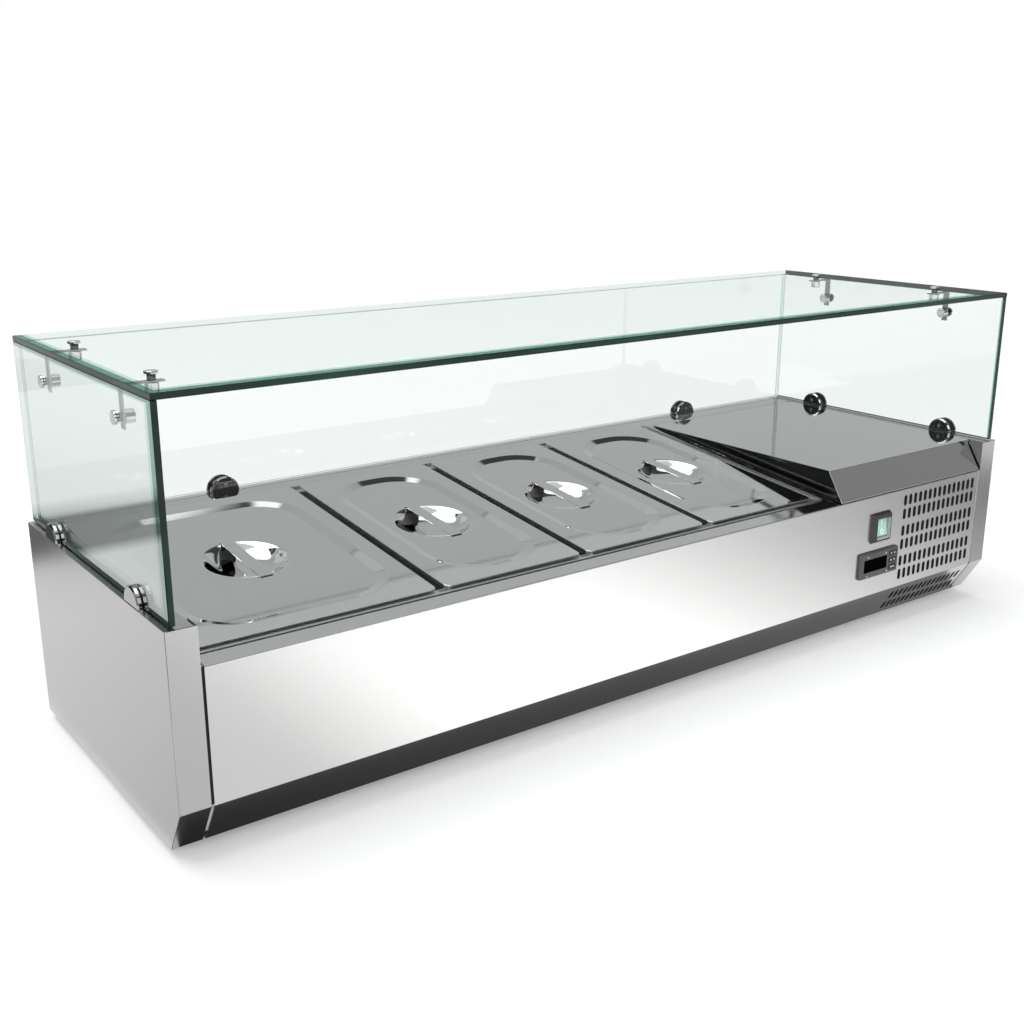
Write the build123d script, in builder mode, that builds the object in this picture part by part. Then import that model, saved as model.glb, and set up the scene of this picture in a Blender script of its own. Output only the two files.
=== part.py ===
from build123d import *
import os
from math import atan2, cos, hypot, radians, sin, sqrt, tan

# Countertop refrigerated counter: a stainless case with a sloping deck, a chilled well that holds
# four gastronorm pans with lids, a condensing unit under a hood at the right, and a glass canopy.
# Millimetres. X runs along the counter, Y from the operator's side to the guests' side, Z up.
# The origin is on the worktop, under the middle of the case.

os.makedirs("parts", exist_ok=True)

# Case
CASE_LENGTH = 1200.0
CASE_DEPTH = 395.0
CASE_HEIGHT = 222.0
FOOT_HEIGHT = 10.0
FOOT_RADIUS = 16.0
FOOT_INSET_X = 55.0
FOOT_INSET_Y = 37.5
FRONT_DROP = 39.0
LEDGE_DEPTH = 35.5
CHAMFER_HEIGHT = 47.3
CHAMFER_DEPTH = 28.7
SHEET = 1.0
SEAM = 0.1
RETURN_FLANGE = 15.0
STRIP_WIDTH = 30.0
TOP_FLANGE = 26.5
LIP_DEPTH = 21.0
PANEL_GAP = 3.0
BEND_RADIUS = 1.6
UPSTAND = 10.0
DECK_SIDE_GAP = 0.5

# Gastronorm pans, their lids and the well that holds them
PAN_LENGTH = 325.0
HALF_PAN_WIDTH = 265.0
THIRD_PAN_WIDTH = 176.0
THIRD_PAN_COUNT = 3
PAN_GAP = 10.3
PAN_DEPTH = 100.0
PAN_RIM = 12.5
PAN_RIM_HEIGHT = 4.7
PAN_RIM_CORNER = 8.0
PAN_CORNER = 25.0
PAN_FLOOR_RADIUS = 14.0
PAN_DRAFT = 3.0
PAN_SHEET = 0.8
PANS_FROM_LEFT = 27.5
PANS_FROM_FRONT = 28.0
LID_SHEET = 0.8
LID_BORDER = 21.0
LID_SLOPE_WIDTH = 11.0
LID_RECESS = 3.0
LID_RECESS_CORNER = 48.0
DISH_RADIUS = 43.0
DISH_FLOOR_RADIUS = 34.0
DISH_DEPTH = 13.0
DISH_WALL_DEPTH = 10.0
DISH_LIP = 3.0
STRAP_WIDTH = 15.0
STRAP_SHEET = 1.2
STRAP_LANDING = 3.5
RIM_GAP = 3.0
LINER_FLANGE = 3.0
SUPPORT_LEDGE = 11.5
END_LEDGE = 4.0
LEDGE_DROP = 3.0
WELL_CORNER = 15.0
WELL_CLEARANCE = 20.0
RAIL_BEARING = 6.85
RAIL_DEPTH = 10.0
RAIL_FIT = 0.3

# Hood over the condensing unit, and the wall that parts the unit from the well
HOOD_FROM_PANS = 26.1
HOOD_SLOPE_DEPTH = 24.5
HOOD_FOOT_GAP = 1.5
BULKHEAD_SETBACK = 8.0
SERVICE_LENGTH = 230.0
SERVICE_DEPTH = 255.0
SERVICE_FROM_FRONT = 45.0
SERVICE_FROM_BULKHEAD = 20.0

# Glass canopy and its fittings
CANOPY_HEIGHT = 203.0
GLASS = 6.0
GLASS_INSET = 6.0
GLASS_FRONT_INSET = 3.5
GLASS_BACK_INSET = 0.5
GLASS_LIFT = 1.5
GLASS_JOINT = 0.5
GLASS_EDGE = 0.8
CLAMP_RADIUS = 18.0
CLAMP_CHEEK = 4.5
CLAMP_PAD = 1.0
CLAMP_WEB = 1.1
CLAMP_EDGE = 1.5
CLAMP_SCREW_RADIUS = 2.5
CLAMP_SCREW_HEIGHT = 8.0
CLAMP_FROM_EDGE = 80.5
CLAMP_FROM_END = 225.0
BRACKET_FROM_EDGE = 92.5
BRACKET_LEG = 40.0
BRACKET_WIDTH = 8.5
BRACKET_SHEET = 1.5
KNOB_FROM_EDGE = 35.0
KNOB_RADIUS = 6.5
KNOB_CAP = 2.5
KNOB_BARREL = 9.0
KNOB_SHANK_RADIUS = 3.0
KNOB_THREAD = 5.0
GLASS_HOLE_RADIUS = 4.0

# Controls on the front
CONTROLS_FROM_HOOD = 42.0
SWITCH_FROM_DECK = 43.4
SWITCH_WIDTH = 38.4
SWITCH_HEIGHT = 41.0
SWITCH_TAPER_IN = 2.4
SWITCH_PROUD = 5.0
SWITCH_BODY_WIDTH = 28.0
SWITCH_BODY_HEIGHT = 32.0
SWITCH_BODY_DEPTH = 24.0
ROCKER_WIDTH = 20.4
ROCKER_RADIUS = 12.2
ROCKER_TILT = 7.0
ROCKER_FACE = 4.5
ROCKER_DISH = 0.9
ROCKER_BACK = 3.0
ROCKER_PIVOT_DEPTH = 1.0
ROCKER_PIN_RADIUS = 1.5
ROCKER_PIN_LENGTH = 1.4
ROCKER_CLEARANCE = 0.4
PIN_CLEARANCE = 0.06
THERMOSTAT_FROM_DECK = 92.2
THERMOSTAT_WIDTH = 77.0
THERMOSTAT_HEIGHT = 35.0
THERMOSTAT_PROUD = 4.5
THERMOSTAT_BODY_WIDTH = 70.5
THERMOSTAT_BODY_HEIGHT = 28.5
THERMOSTAT_BODY_DEPTH = 55.0
BEZEL_EDGE = 1.8
BEZEL_CORNER = 3.0
WINDOW_WIDTH = 46.5
WINDOW_HEIGHT = 17.5
WINDOW_SHIFT = -8.3
WINDOW_SHEET = 1.0
WINDOW_RECESS = 1.3
BUTTON_WIDTH = 15.0
BUTTON_HEIGHT = 6.4
BUTTON_SHIFT = 26.5
BUTTON_PITCH = 9.6
BUTTON_PROUD = 0.3
BUTTON_BODY = 2.2
BUTTON_TRAVEL = 0.6
BUTTON_CLEARANCE = 0.3
CUTOUT_FIT = 0.25

# Air vents: upright slots in the front, the chamfer and the back
VENT_LENGTH = 14.0
VENT_WIDTH = 5.6
VENT_PITCH = 10.53
VENT_COLUMNS = 15
VENTS_FROM_RIGHT = 44.98
VENTS_BELOW_DECK = 9.0
VENT_ROW_PITCH = 18.8
VENT_PAIR_PITCH = 42.0
VENT_PAIRS = 3
CHAMFER_VENT_FIRST = 18.5
CHAMFER_VENT_PITCH = 20.5
BACK_VENT_COLUMNS = 9
BACK_VENT_ROWS = 3
BACK_VENT_LENGTH = 30.0
BACK_VENT_PITCH_X = 14.0
BACK_VENT_PITCH_Z = 38.0
BACK_VENTS_FROM_RIGHT = 160.0
BACK_VENTS_FROM_TOP = 102.0

# Condensing unit
CONDENSER_HEADER_SPAN = 150.0
CONDENSER_HEADER_RADIUS = 8.0
CONDENSER_DEPTH = 18.0
CONDENSER_TUBE = 2.0
CONDENSER_TUBE_PITCH = 13.0
CONDENSER_TUBE_COUNT = 10
FIN_SHEET = 1.2
FIN_PITCH = 9.0
SHROUD_SHEET = 1.5
SHROUD_GAP = 2.0
FAN_RING_RADIUS = 58.0
FAN_RING_DEPTH = 12.0
FAN_TIP_CLEARANCE = 4.0
FAN_HUB_RADIUS = 15.0
FAN_HUB_LENGTH = 18.0
FAN_BLADES = 5
FAN_ROOT_CHORD = 22.0
FAN_TIP_CHORD = 38.0
FAN_ROOT_PITCH = 42.0
FAN_TIP_PITCH = 24.0
FAN_BLADE_SHEET = 1.6
FAN_GAP = 2.0
FAN_SHAFT_RADIUS = 2.5
FAN_SHAFT_CLEARANCE = 0.06
MOTOR_RADIUS = 30.0
MOTOR_LENGTH = 42.0
MOTOR_BRACKET_WIDTH = 50.0
MOTOR_BRACKET_FOOT = 28.0
COMPRESSOR_FROM_BULKHEAD = 139.5
COMPRESSOR_FROM_BACK = 122.5
COMPRESSOR_LENGTH = 150.0
COMPRESSOR_WIDTH = 118.0
COMPRESSOR_HEIGHT = 132.0
COMPRESSOR_TOP_RADIUS = 34.0
COMPRESSOR_BOTTOM_RADIUS = 14.0
WELD_BAND = 4.0
WELD_BAND_PROUD = 2.5
FOOT_PLATE_LENGTH = 190.0
FOOT_PLATE_WIDTH = 120.0
FOOT_PLATE_SHEET = 3.0
GROMMET_RADIUS = 11.0
GROMMET_NECK_RADIUS = 6.0
GROMMET_HEIGHT = 10.0
GROMMET_CAP = 4.0
GROMMET_FIT = 0.2
GROMMET_INSET = 14.0
TERMINAL_LENGTH = 52.0
TERMINAL_HEIGHT = 50.0
TERMINAL_DEPTH = 26.0
DRIER_RADIUS = 9.0
DRIER_LENGTH = 90.0
DRIER_NOSE = 12.0
PIPE_RADIUS = 3.0
PIPE_WALL = 0.8
PIPE_BEND = 12.0
PIPE_STUB = 8.0
PIPE_FIT = 0.5
CAPILLARY_RADIUS = 1.5

# Evaporator coil under the well, its sensor, the drain and the cable inlet
EVAPORATOR_RADIUS = 4.0
EVAPORATOR_RUNS = 6
EVAPORATOR_PITCH = 44.0
EVAPORATOR_FIRST = 60.0
EVAPORATOR_END = 50.0
EVAPORATOR_STUB = 14.0
EVAPORATOR_FIT = 0.3
PROBE_RADIUS = 3.0
PROBE_DROP = 50.0
DRAIN_RADIUS = 11.0
DRAIN_WALL = 2.0
DRAIN_INSET_X = 60.0
DRAIN_INSET_Y = 30.0
DRAIN_FLOOR_GAP = 4.0
FOAM_FIT = 0.3
BUSHING_FROM_RIGHT = 55.0
BUSHING_FROM_FOOT = 35.0
BUSHING_RADIUS = 10.0
BUSHING_NECK_RADIUS = 7.9
BUSHING_PROUD = 5.0
BUSHING_TAIL = 9.0
BUSHING_BORE_RADIUS = 3.8
SCREW_HEAD_RADIUS = 3.6
SCREW_HEAD = 2.2
SCREW_RADIUS = 1.9
SCREW_LENGTH = 6.0
SCREW_FIT = 0.15
SCREW_COUNT = 6
SCREW_INSET = 60.0

# Places worked out from the sizes above
half_length = CASE_LENGTH / 2
front_y = -CASE_DEPTH / 2
back_y = CASE_DEPTH / 2
case_bottom = FOOT_HEIGHT
case_top = FOOT_HEIGHT + CASE_HEIGHT
chamfer_top_z = case_bottom + CHAMFER_HEIGHT
chamfer_foot_y = front_y + CHAMFER_DEPTH
deck_front_z = case_top - FRONT_DROP
crest_y = back_y - LEDGE_DEPTH
slope = atan2(FRONT_DROP, crest_y - front_y)
slope_length = hypot(FRONT_DROP, crest_y - front_y)
wall_inner_x = half_length - SHEET
strip_inner_x = half_length - STRIP_WIDTH
panel_half = strip_inner_x - PANEL_GAP
flange_inner_x = half_length - TOP_FLANGE

# The deck's own frame: x along the counter, y up the slope from its front edge, z off its surface
deck_up = (0, -sin(slope), cos(slope))
deck_plane = Plane(origin=(0, front_y, deck_front_z), x_dir=(1, 0, 0), z_dir=deck_up)
deck_axis = Axis((0, 0, 0), deck_up)
FROM_CORNER = (Align.MIN, Align.MIN)

# Pans from left to right: name, left edge, width
pan_rows = [("half", -half_length + PANS_FROM_LEFT, HALF_PAN_WIDTH)]
for number in range(THIRD_PAN_COUNT):
    edge = pan_rows[-1][1] + pan_rows[-1][2] + PAN_GAP
    pan_rows.append((f"third_{number + 1}", edge, THIRD_PAN_WIDTH))
pans_left = pan_rows[0][1]
pans_right = pan_rows[-1][1] + pan_rows[-1][2]
pans_front = PANS_FROM_FRONT
pans_back = pans_front + PAN_LENGTH
pan_middle = (pans_front + pans_back) / 2

# Well: the recess that the pan rims drop into, and the tank below it
recess_left = pans_left - RIM_GAP
recess_front = pans_front - RIM_GAP
recess_back = pans_back + RIM_GAP
well_left = recess_left + SUPPORT_LEDGE
well_front = recess_front + SUPPORT_LEDGE
well_back = recess_back - SUPPORT_LEDGE
end_rail_right = pans_right + PAN_GAP
well_right = end_rail_right + RAIL_FIT
recess_right = well_right + END_LEDGE
flange_top = SEAM + SHEET
ledge_top = flange_top - LEDGE_DROP
rim_bottom = ledge_top + SEAM
rim_top = rim_bottom + PAN_RIM_HEIGHT
lid_bottom = rim_top + SEAM
lid_top = lid_bottom + LID_SHEET
lid_panel_top = lid_top - LID_RECESS
well_floor = rim_top - PAN_DEPTH - WELL_CLEARANCE
well_floor_under = well_floor - SHEET

hood_left = pans_right + HOOD_FROM_PANS
hood_right = flange_inner_x - DECK_SIDE_GAP
hood_back_y = crest_y - (SHEET + 2 * SEAM) / tan(slope)
bulkhead_x = hood_left + BULKHEAD_SETBACK
chamfer_length = hypot(CHAMFER_HEIGHT, CHAMFER_DEPTH)
control_x = hood_left + CONTROLS_FROM_HOOD + THERMOSTAT_WIDTH / 2
switch_z = deck_front_z - SWITCH_FROM_DECK
thermostat_z = deck_front_z - THERMOSTAT_FROM_DECK
vent_field_length = (VENT_COLUMNS - 1) * VENT_PITCH
vent_x = half_length - VENTS_FROM_RIGHT - vent_field_length / 2
vent_top_z = deck_front_z - VENTS_BELOW_DECK - VENT_LENGTH / 2
back_vent_x = half_length - BACK_VENTS_FROM_RIGHT
back_vent_z = case_top - BACK_VENTS_FROM_TOP
bushing_x = half_length - BUSHING_FROM_RIGHT
bushing_z = case_bottom + BUSHING_FROM_FOOT
clamp_x = half_length - CLAMP_FROM_END
clamp_y = back_y - CLAMP_FROM_EDGE
bracket_y = back_y - BRACKET_FROM_EDGE
compressor_x = bulkhead_x + COMPRESSOR_FROM_BULKHEAD
compressor_y = back_y - COMPRESSOR_FROM_BACK
tray_bottom = case_bottom + SHEET + SEAM
tray_top = tray_bottom + SHEET
tray_front_y = chamfer_foot_y + SHEET * chamfer_length / CHAMFER_HEIGHT + SEAM
tray_back_y = back_y - SHEET - SEAM
back_return_top = case_top - SHEET - SEAM


def on_deck(x, s, height):
    """A point of the room from its place on the deck: along, up the slope, and off the surface."""
    return deck_plane.from_local_coords((x, s, height))


def sheet_section(points, side):
    """A bent sheet's section: the folded outer line and the same line one sheet further in."""
    with BuildSketch() as section:
        with BuildLine():
            Polyline(*points)
            offset(amount=SHEET, side=side, kind=Kind.INTERSECTION)
        make_face()
    return section.sketch


def finish(part, name):
    """Name a finished piece and write it out."""
    part.label = name
    export_step(part, f"parts/{name}.step")


# Section of the room inside the case: above the tray, under the deck and behind the front panel
def inside_section(top_gap):
    front_in = front_y + SHEET * chamfer_length / CHAMFER_HEIGHT + SEAM
    back_in = tray_back_y - SHEET - SEAM
    foot_in = tray_front_y + SHEET + SEAM
    floor_z = tray_top + SEAM
    drop = top_gap / cos(slope)
    roof_z = back_return_top - SHEET - SEAM
    roof_y = front_y + (roof_z - deck_front_z + drop) / tan(slope)
    return [
        (foot_in, floor_z),
        (back_in, floor_z),
        (back_in, roof_z),
        (roof_y, roof_z),
        (front_in, deck_front_z - drop + (front_in - front_y) * tan(slope)),
        (front_in, chamfer_top_z),
        (foot_in, tray_top + UPSTAND + SEAM),
        (foot_in, floor_z),
    ]


# Case: two pan-shaped end panels, a front panel, a back panel and a tray, all folded sheet
def end_panel(name, hand):
    """One end of the case. Its wall turns in at the front, foot, back and top, and a lip
    behind the front strip closes the corner that shows beside the hood."""
    outline = [
        (front_y, case_top),
        (front_y, chamfer_top_z),
        (chamfer_foot_y, case_bottom),
        (back_y, case_bottom),
        (back_y, case_top),
        (front_y, case_top),
    ]
    with BuildPart() as panel:
        with BuildSketch(Plane.YZ.offset(hand * half_length)):
            with BuildLine():
                Polyline(*outline)
            make_face()
        extrude(amount=-hand * STRIP_WIDTH)
        wall = panel.faces().sort_by(Axis.X)[-1 if hand > 0 else 0]
        upright = wall.edges().filter_by(Axis.Z)
        fillet(upright, BEND_RADIUS)
        inner = panel.faces().sort_by(Axis.X)[0 if hand > 0 else -1]
        offset(amount=-SHEET, openings=inner)
        trim = (strip_inner_x + flange_inner_x) / 2
        with BuildSketch(Plane.XY.offset(case_top)):
            with Locations((hand * trim, 0)):
                Rectangle(flange_inner_x - strip_inner_x, CASE_DEPTH - 2 * SHEET)
        extrude(amount=-SHEET, mode=Mode.SUBTRACT)
        with BuildSketch(Plane.YZ.offset(hand * strip_inner_x)):
            with Locations((front_y, chamfer_top_z)):
                Rectangle(LIP_DEPTH, case_top - chamfer_top_z, align=FROM_CORNER)
        extrude(amount=hand * SHEET)
    finish(panel.part, name)


end_panel("left_end_panel", -1)
end_panel("right_end_panel", 1)

# The front panel's chamfer faces down and out; its slots run up and down that face
chamfer_plane = Plane(
    origin=(0, front_y, chamfer_top_z),
    x_dir=(1, 0, 0),
    z_dir=(0, -CHAMFER_HEIGHT, -CHAMFER_DEPTH),
)
front_plane = Plane.XZ.offset(-front_y)
back_plane = Plane.XZ.offset(-back_y)
under_deck = (SHEET + SEAM) / cos(slope)
front_top_z = deck_front_z - under_deck
front_fold = [
    (chamfer_foot_y + RETURN_FLANGE, case_bottom),
    (chamfer_foot_y, case_bottom),
    (front_y, chamfer_top_z),
    (front_y, front_top_z),
    (front_y + RETURN_FLANGE, front_top_z + RETURN_FLANGE * tan(slope)),
]
vent_rows = []
for pair in range(VENT_PAIRS):
    pair_top = vent_top_z - pair * VENT_PAIR_PITCH
    vent_rows.extend([pair_top, pair_top - VENT_ROW_PITCH])

with BuildPart() as front_panel:
    with BuildSketch(Plane.YZ):
        add(sheet_section(front_fold, Side.RIGHT))
    extrude(amount=panel_half, both=True)
    with BuildSketch(front_plane):
        for row_z in vent_rows:
            with Locations((vent_x, row_z)):
                with GridLocations(VENT_PITCH, 0, VENT_COLUMNS, 1):
                    SlotOverall(VENT_LENGTH, VENT_WIDTH, rotation=90)
        with Locations((control_x, switch_z)):
            Rectangle(SWITCH_BODY_WIDTH + 2 * CUTOUT_FIT, SWITCH_BODY_HEIGHT + 2 * CUTOUT_FIT)
        with Locations((control_x, thermostat_z)):
            Rectangle(
                THERMOSTAT_BODY_WIDTH + 2 * CUTOUT_FIT,
                THERMOSTAT_BODY_HEIGHT + 2 * CUTOUT_FIT,
            )
    extrude(amount=-2 * SHEET, mode=Mode.SUBTRACT)
    with BuildSketch(chamfer_plane):
        for row in range(2):
            with Locations((vent_x, -CHAMFER_VENT_FIRST - row * CHAMFER_VENT_PITCH)):
                with GridLocations(VENT_PITCH, 0, VENT_COLUMNS, 1):
                    SlotOverall(VENT_LENGTH, VENT_WIDTH, rotation=90)
    extrude(amount=-2 * SHEET, mode=Mode.SUBTRACT)
finish(front_panel.part, "front_panel")

back_fold = [
    (back_y - RETURN_FLANGE, case_bottom),
    (back_y, case_bottom),
    (back_y, back_return_top),
    (back_y - RETURN_FLANGE, back_return_top),
]
screw_z = tray_top + UPSTAND / 2
screw_span = 2 * (panel_half - SCREW_INSET) / (SCREW_COUNT - 1)
screw_hole_radius = SCREW_RADIUS + SCREW_FIT

with BuildPart() as back_panel:
    with BuildSketch(Plane.YZ):
        add(sheet_section(back_fold, Side.LEFT))
    extrude(amount=panel_half, both=True)
    with BuildSketch(back_plane):
        with Locations((back_vent_x, back_vent_z)):
            with GridLocations(
                BACK_VENT_PITCH_X, BACK_VENT_PITCH_Z, BACK_VENT_COLUMNS, BACK_VENT_ROWS
            ):
                SlotOverall(BACK_VENT_LENGTH, VENT_WIDTH, rotation=90)
        with Locations((bushing_x, bushing_z)):
            Circle(BUSHING_NECK_RADIUS + SEAM)
        with Locations((0, screw_z)):
            with GridLocations(screw_span, 0, SCREW_COUNT, 1):
                Circle(screw_hole_radius)
    extrude(amount=2 * SHEET, mode=Mode.SUBTRACT)
finish(back_panel.part, "back_panel")

# Tray: the floor of the case, folded up at the front and the back, with a hole for the drain
tray_half = wall_inner_x - BEND_RADIUS
foot_places = [
    (hand * (half_length - FOOT_INSET_X), y)
    for hand in (-1, 1)
    for y in (chamfer_foot_y + FOOT_INSET_Y, back_y - FOOT_INSET_Y)
]
drain_x = well_left + DRAIN_INSET_X
drain_s = well_front + DRAIN_INSET_Y
drain_foot = on_deck(drain_x, drain_s, 0)
drain_foot_height = (drain_foot.Z - tray_bottom) / cos(slope)
drain_tray_y = on_deck(drain_x, drain_s, -drain_foot_height).Y
tray_fold = [
    (tray_front_y, tray_top + UPSTAND),
    (tray_front_y, tray_bottom),
    (tray_back_y, tray_bottom),
    (tray_back_y, tray_top + UPSTAND),
]

with BuildPart() as base_tray:
    with BuildSketch(Plane.YZ):
        add(sheet_section(tray_fold, Side.LEFT))
    extrude(amount=tray_half, both=True)
    with BuildSketch(Plane.XY.offset(tray_bottom)):
        with Locations((drain_x, drain_tray_y)):
            Circle(DRAIN_RADIUS + 2 * SHEET)
    extrude(amount=SHEET, mode=Mode.SUBTRACT)
    with BuildSketch(Plane.XZ.offset(-tray_back_y)):
        with Locations((0, screw_z)):
            with GridLocations(screw_span, 0, SCREW_COUNT, 1):
                Circle(screw_hole_radius)
    extrude(amount=2 * SHEET, mode=Mode.SUBTRACT)
finish(base_tray.part, "base_tray")

with BuildPart() as rubber_feet:
    with BuildSketch():
        with Locations(*foot_places):
            Circle(FOOT_RADIUS)
    extrude(amount=tray_bottom - SEAM, taper=-4)
    chamfer(rubber_feet.edges().group_by(Axis.Z)[0], 1.0)
finish(rubber_feet.part, "rubber_feet")

with BuildPart() as case_screw:
    with BuildSketch(Plane.XZ):
        Circle(SCREW_HEAD_RADIUS)
    extrude(amount=-SCREW_HEAD)
    fillet(case_screw.faces().sort_by(Axis.Y)[-1].edges(), SCREW_HEAD / 2)
    with BuildSketch(Plane.XZ):
        Circle(SCREW_RADIUS)
    extrude(amount=SCREW_LENGTH)

with BuildPart() as case_screws:
    with Locations((0, back_y + SEAM, screw_z)):
        with GridLocations(screw_span, 0, SCREW_COUNT, 1):
            add(case_screw.part)
finish(case_screws.part, "case_screws")

# Deck: the sloping worktop with the level ledge behind it. Its front edge fits between the end
# panels' strips, and its sides run under their top flanges
tab_end = (FRONT_DROP - SHEET - 2 * SEAM) / sin(slope) - SEAM
tongue_depth = LIP_DEPTH + 1.0
deck_half = wall_inner_x - DECK_SIDE_GAP
opening_gap = SHEET + DECK_SIDE_GAP
ledge_half = flange_inner_x - DECK_SIDE_GAP

with BuildPart() as deck:
    with BuildSketch(deck_plane):
        with Locations((0, 0)):
            Rectangle(2 * panel_half, slope_length, align=(Align.CENTER, Align.MIN))
        with Locations((0, tongue_depth)):
            Rectangle(2 * deck_half, tab_end - tongue_depth, align=(Align.CENTER, Align.MIN))
        with Locations((0, tongue_depth)):
            Rectangle(2 * ledge_half, slope_length - tongue_depth, align=(Align.CENTER, Align.MIN))
        with Locations((recess_left - opening_gap, recess_front - opening_gap)):
            Rectangle(
                recess_right - recess_left + 2 * opening_gap,
                recess_back - recess_front + 2 * opening_gap,
                align=FROM_CORNER,
                mode=Mode.SUBTRACT,
            )
        with Locations((bulkhead_x + SERVICE_FROM_BULKHEAD, SERVICE_FROM_FRONT)):
            Rectangle(SERVICE_LENGTH, SERVICE_DEPTH, align=FROM_CORNER, mode=Mode.SUBTRACT)
    extrude(amount=-SHEET)
    with BuildSketch(Plane.XY.offset(case_top)):
        with Locations((0, crest_y)):
            Rectangle(2 * panel_half, LEDGE_DEPTH, align=(Align.CENTER, Align.MIN))
            Rectangle(
                2 * ledge_half, LEDGE_DEPTH - SHEET - SEAM, align=(Align.CENTER, Align.MIN)
            )
    extrude(amount=-SHEET)
finish(deck.part, "deck")

# Bulkhead: closes the insulated side off from the condensing unit. The evaporator's two ends
# pass through it
evaporator_height = well_floor_under - EVAPORATOR_FIT - EVAPORATOR_RADIUS
evaporator_first_s = well_front + EVAPORATOR_FIRST
evaporator_last_s = evaporator_first_s + (EVAPORATOR_RUNS - 1) * EVAPORATOR_PITCH
evaporator_ends = [
    on_deck(bulkhead_x, evaporator_first_s, evaporator_height),
    on_deck(bulkhead_x, evaporator_last_s, evaporator_height),
]
probe_place = on_deck(bulkhead_x, pan_middle, -PROBE_DROP)

with BuildPart() as bulkhead:
    with BuildSketch(Plane.YZ.offset(bulkhead_x)):
        with BuildLine():
            Polyline(*inside_section(2 * SHEET + 3 * SEAM))
        make_face()
        with Locations(*[(point.Y, point.Z) for point in evaporator_ends]):
            Circle(EVAPORATOR_RADIUS + EVAPORATOR_FIT, mode=Mode.SUBTRACT)
        with Locations((probe_place.Y, probe_place.Z)):
            Circle(PROBE_RADIUS + EVAPORATOR_FIT, mode=Mode.SUBTRACT)
    extrude(amount=SHEET)
finish(bulkhead.part, "bulkhead")


# Tank liner: one pressed tank with a flange on the deck, a recessed ledge for the pan rims
# and a well below. The floor follows the slope, so it drains to the front
def deck_box(plane_height, x_low, x_high, s_low, s_high, corner):
    """A rounded rectangle on the deck, between two lines along it and two up the slope."""
    with BuildSketch(deck_plane.offset(plane_height)) as area:
        with Locations(((x_low + x_high) / 2, (s_low + s_high) / 2)):
            RectangleRounded(x_high - x_low, s_high - s_low, corner)
    return area.sketch


def well_area(plane_height, grow):
    """The well's plan, grown outward by a wall."""
    return deck_box(
        plane_height,
        well_left - grow,
        well_right + grow,
        well_front - grow,
        well_back + grow,
        WELL_CORNER + grow,
    )


def recess_area(plane_height, grow):
    """The rim recess's plan, grown outward by a wall."""
    return deck_box(
        plane_height,
        recess_left - grow,
        recess_right + grow,
        recess_front - grow,
        recess_back + grow,
        RIM_GAP + grow,
    )


with BuildPart() as tank_liner:
    extrude(recess_area(SEAM, LINER_FLANGE), amount=SHEET)
    extrude(recess_area(flange_top, SHEET), amount=-LEDGE_DROP - SHEET)
    extrude(well_area(ledge_top, SHEET), amount=well_floor_under - ledge_top)
    extrude(recess_area(flange_top, 0), amount=-LEDGE_DROP, mode=Mode.SUBTRACT)
    extrude(well_area(ledge_top, 0), amount=well_floor - ledge_top, mode=Mode.SUBTRACT)
    with BuildSketch(deck_plane.offset(well_floor)):
        with Locations((drain_x, drain_s)):
            Circle(DRAIN_RADIUS - DRAIN_WALL)
    extrude(amount=-2 * SHEET, mode=Mode.SUBTRACT)
    with BuildSketch(Plane.XY.offset(case_top - SHEET - SEAM)):
        with Locations((-half_length, 0)):
            Rectangle(TOP_FLANGE + SEAM, CASE_DEPTH, align=(Align.MIN, Align.CENTER))
    extrude(amount=2 * SHEET + SEAM, mode=Mode.SUBTRACT)
finish(tank_liner.part, "tank_liner")

# Rails: folded channels across the well, one between neighbouring pans and one after the last,
# with the rims of the pans resting on them
rail_length = well_back - well_front - 2 * RAIL_FIT
rail_places = []
for name, left_edge, width in pan_rows[:-1]:
    rail_places.append((left_edge + width - RAIL_BEARING, PAN_GAP + 2 * RAIL_BEARING))
rail_places.append((pans_right - RAIL_BEARING, PAN_GAP + RAIL_BEARING))

with BuildPart() as pan_rails:
    for rail_x, rail_width in rail_places:
        with BuildSketch(deck_plane.offset(ledge_top)):
            with Locations((rail_x, well_front + RAIL_FIT)):
                Rectangle(rail_width, rail_length, align=FROM_CORNER)
        extrude(amount=-RAIL_DEPTH)
        with BuildSketch(deck_plane.offset(ledge_top - SHEET)):
            with Locations((rail_x + SHEET, well_front + RAIL_FIT + SHEET)):
                Rectangle(rail_width - 2 * SHEET, rail_length - 2 * SHEET, align=FROM_CORNER)
        extrude(amount=-RAIL_DEPTH, mode=Mode.SUBTRACT)
    extrude(well_area(ledge_top, -RAIL_FIT), amount=-RAIL_DEPTH, mode=Mode.INTERSECT)
finish(pan_rails.part, "pan_rails")

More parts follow.
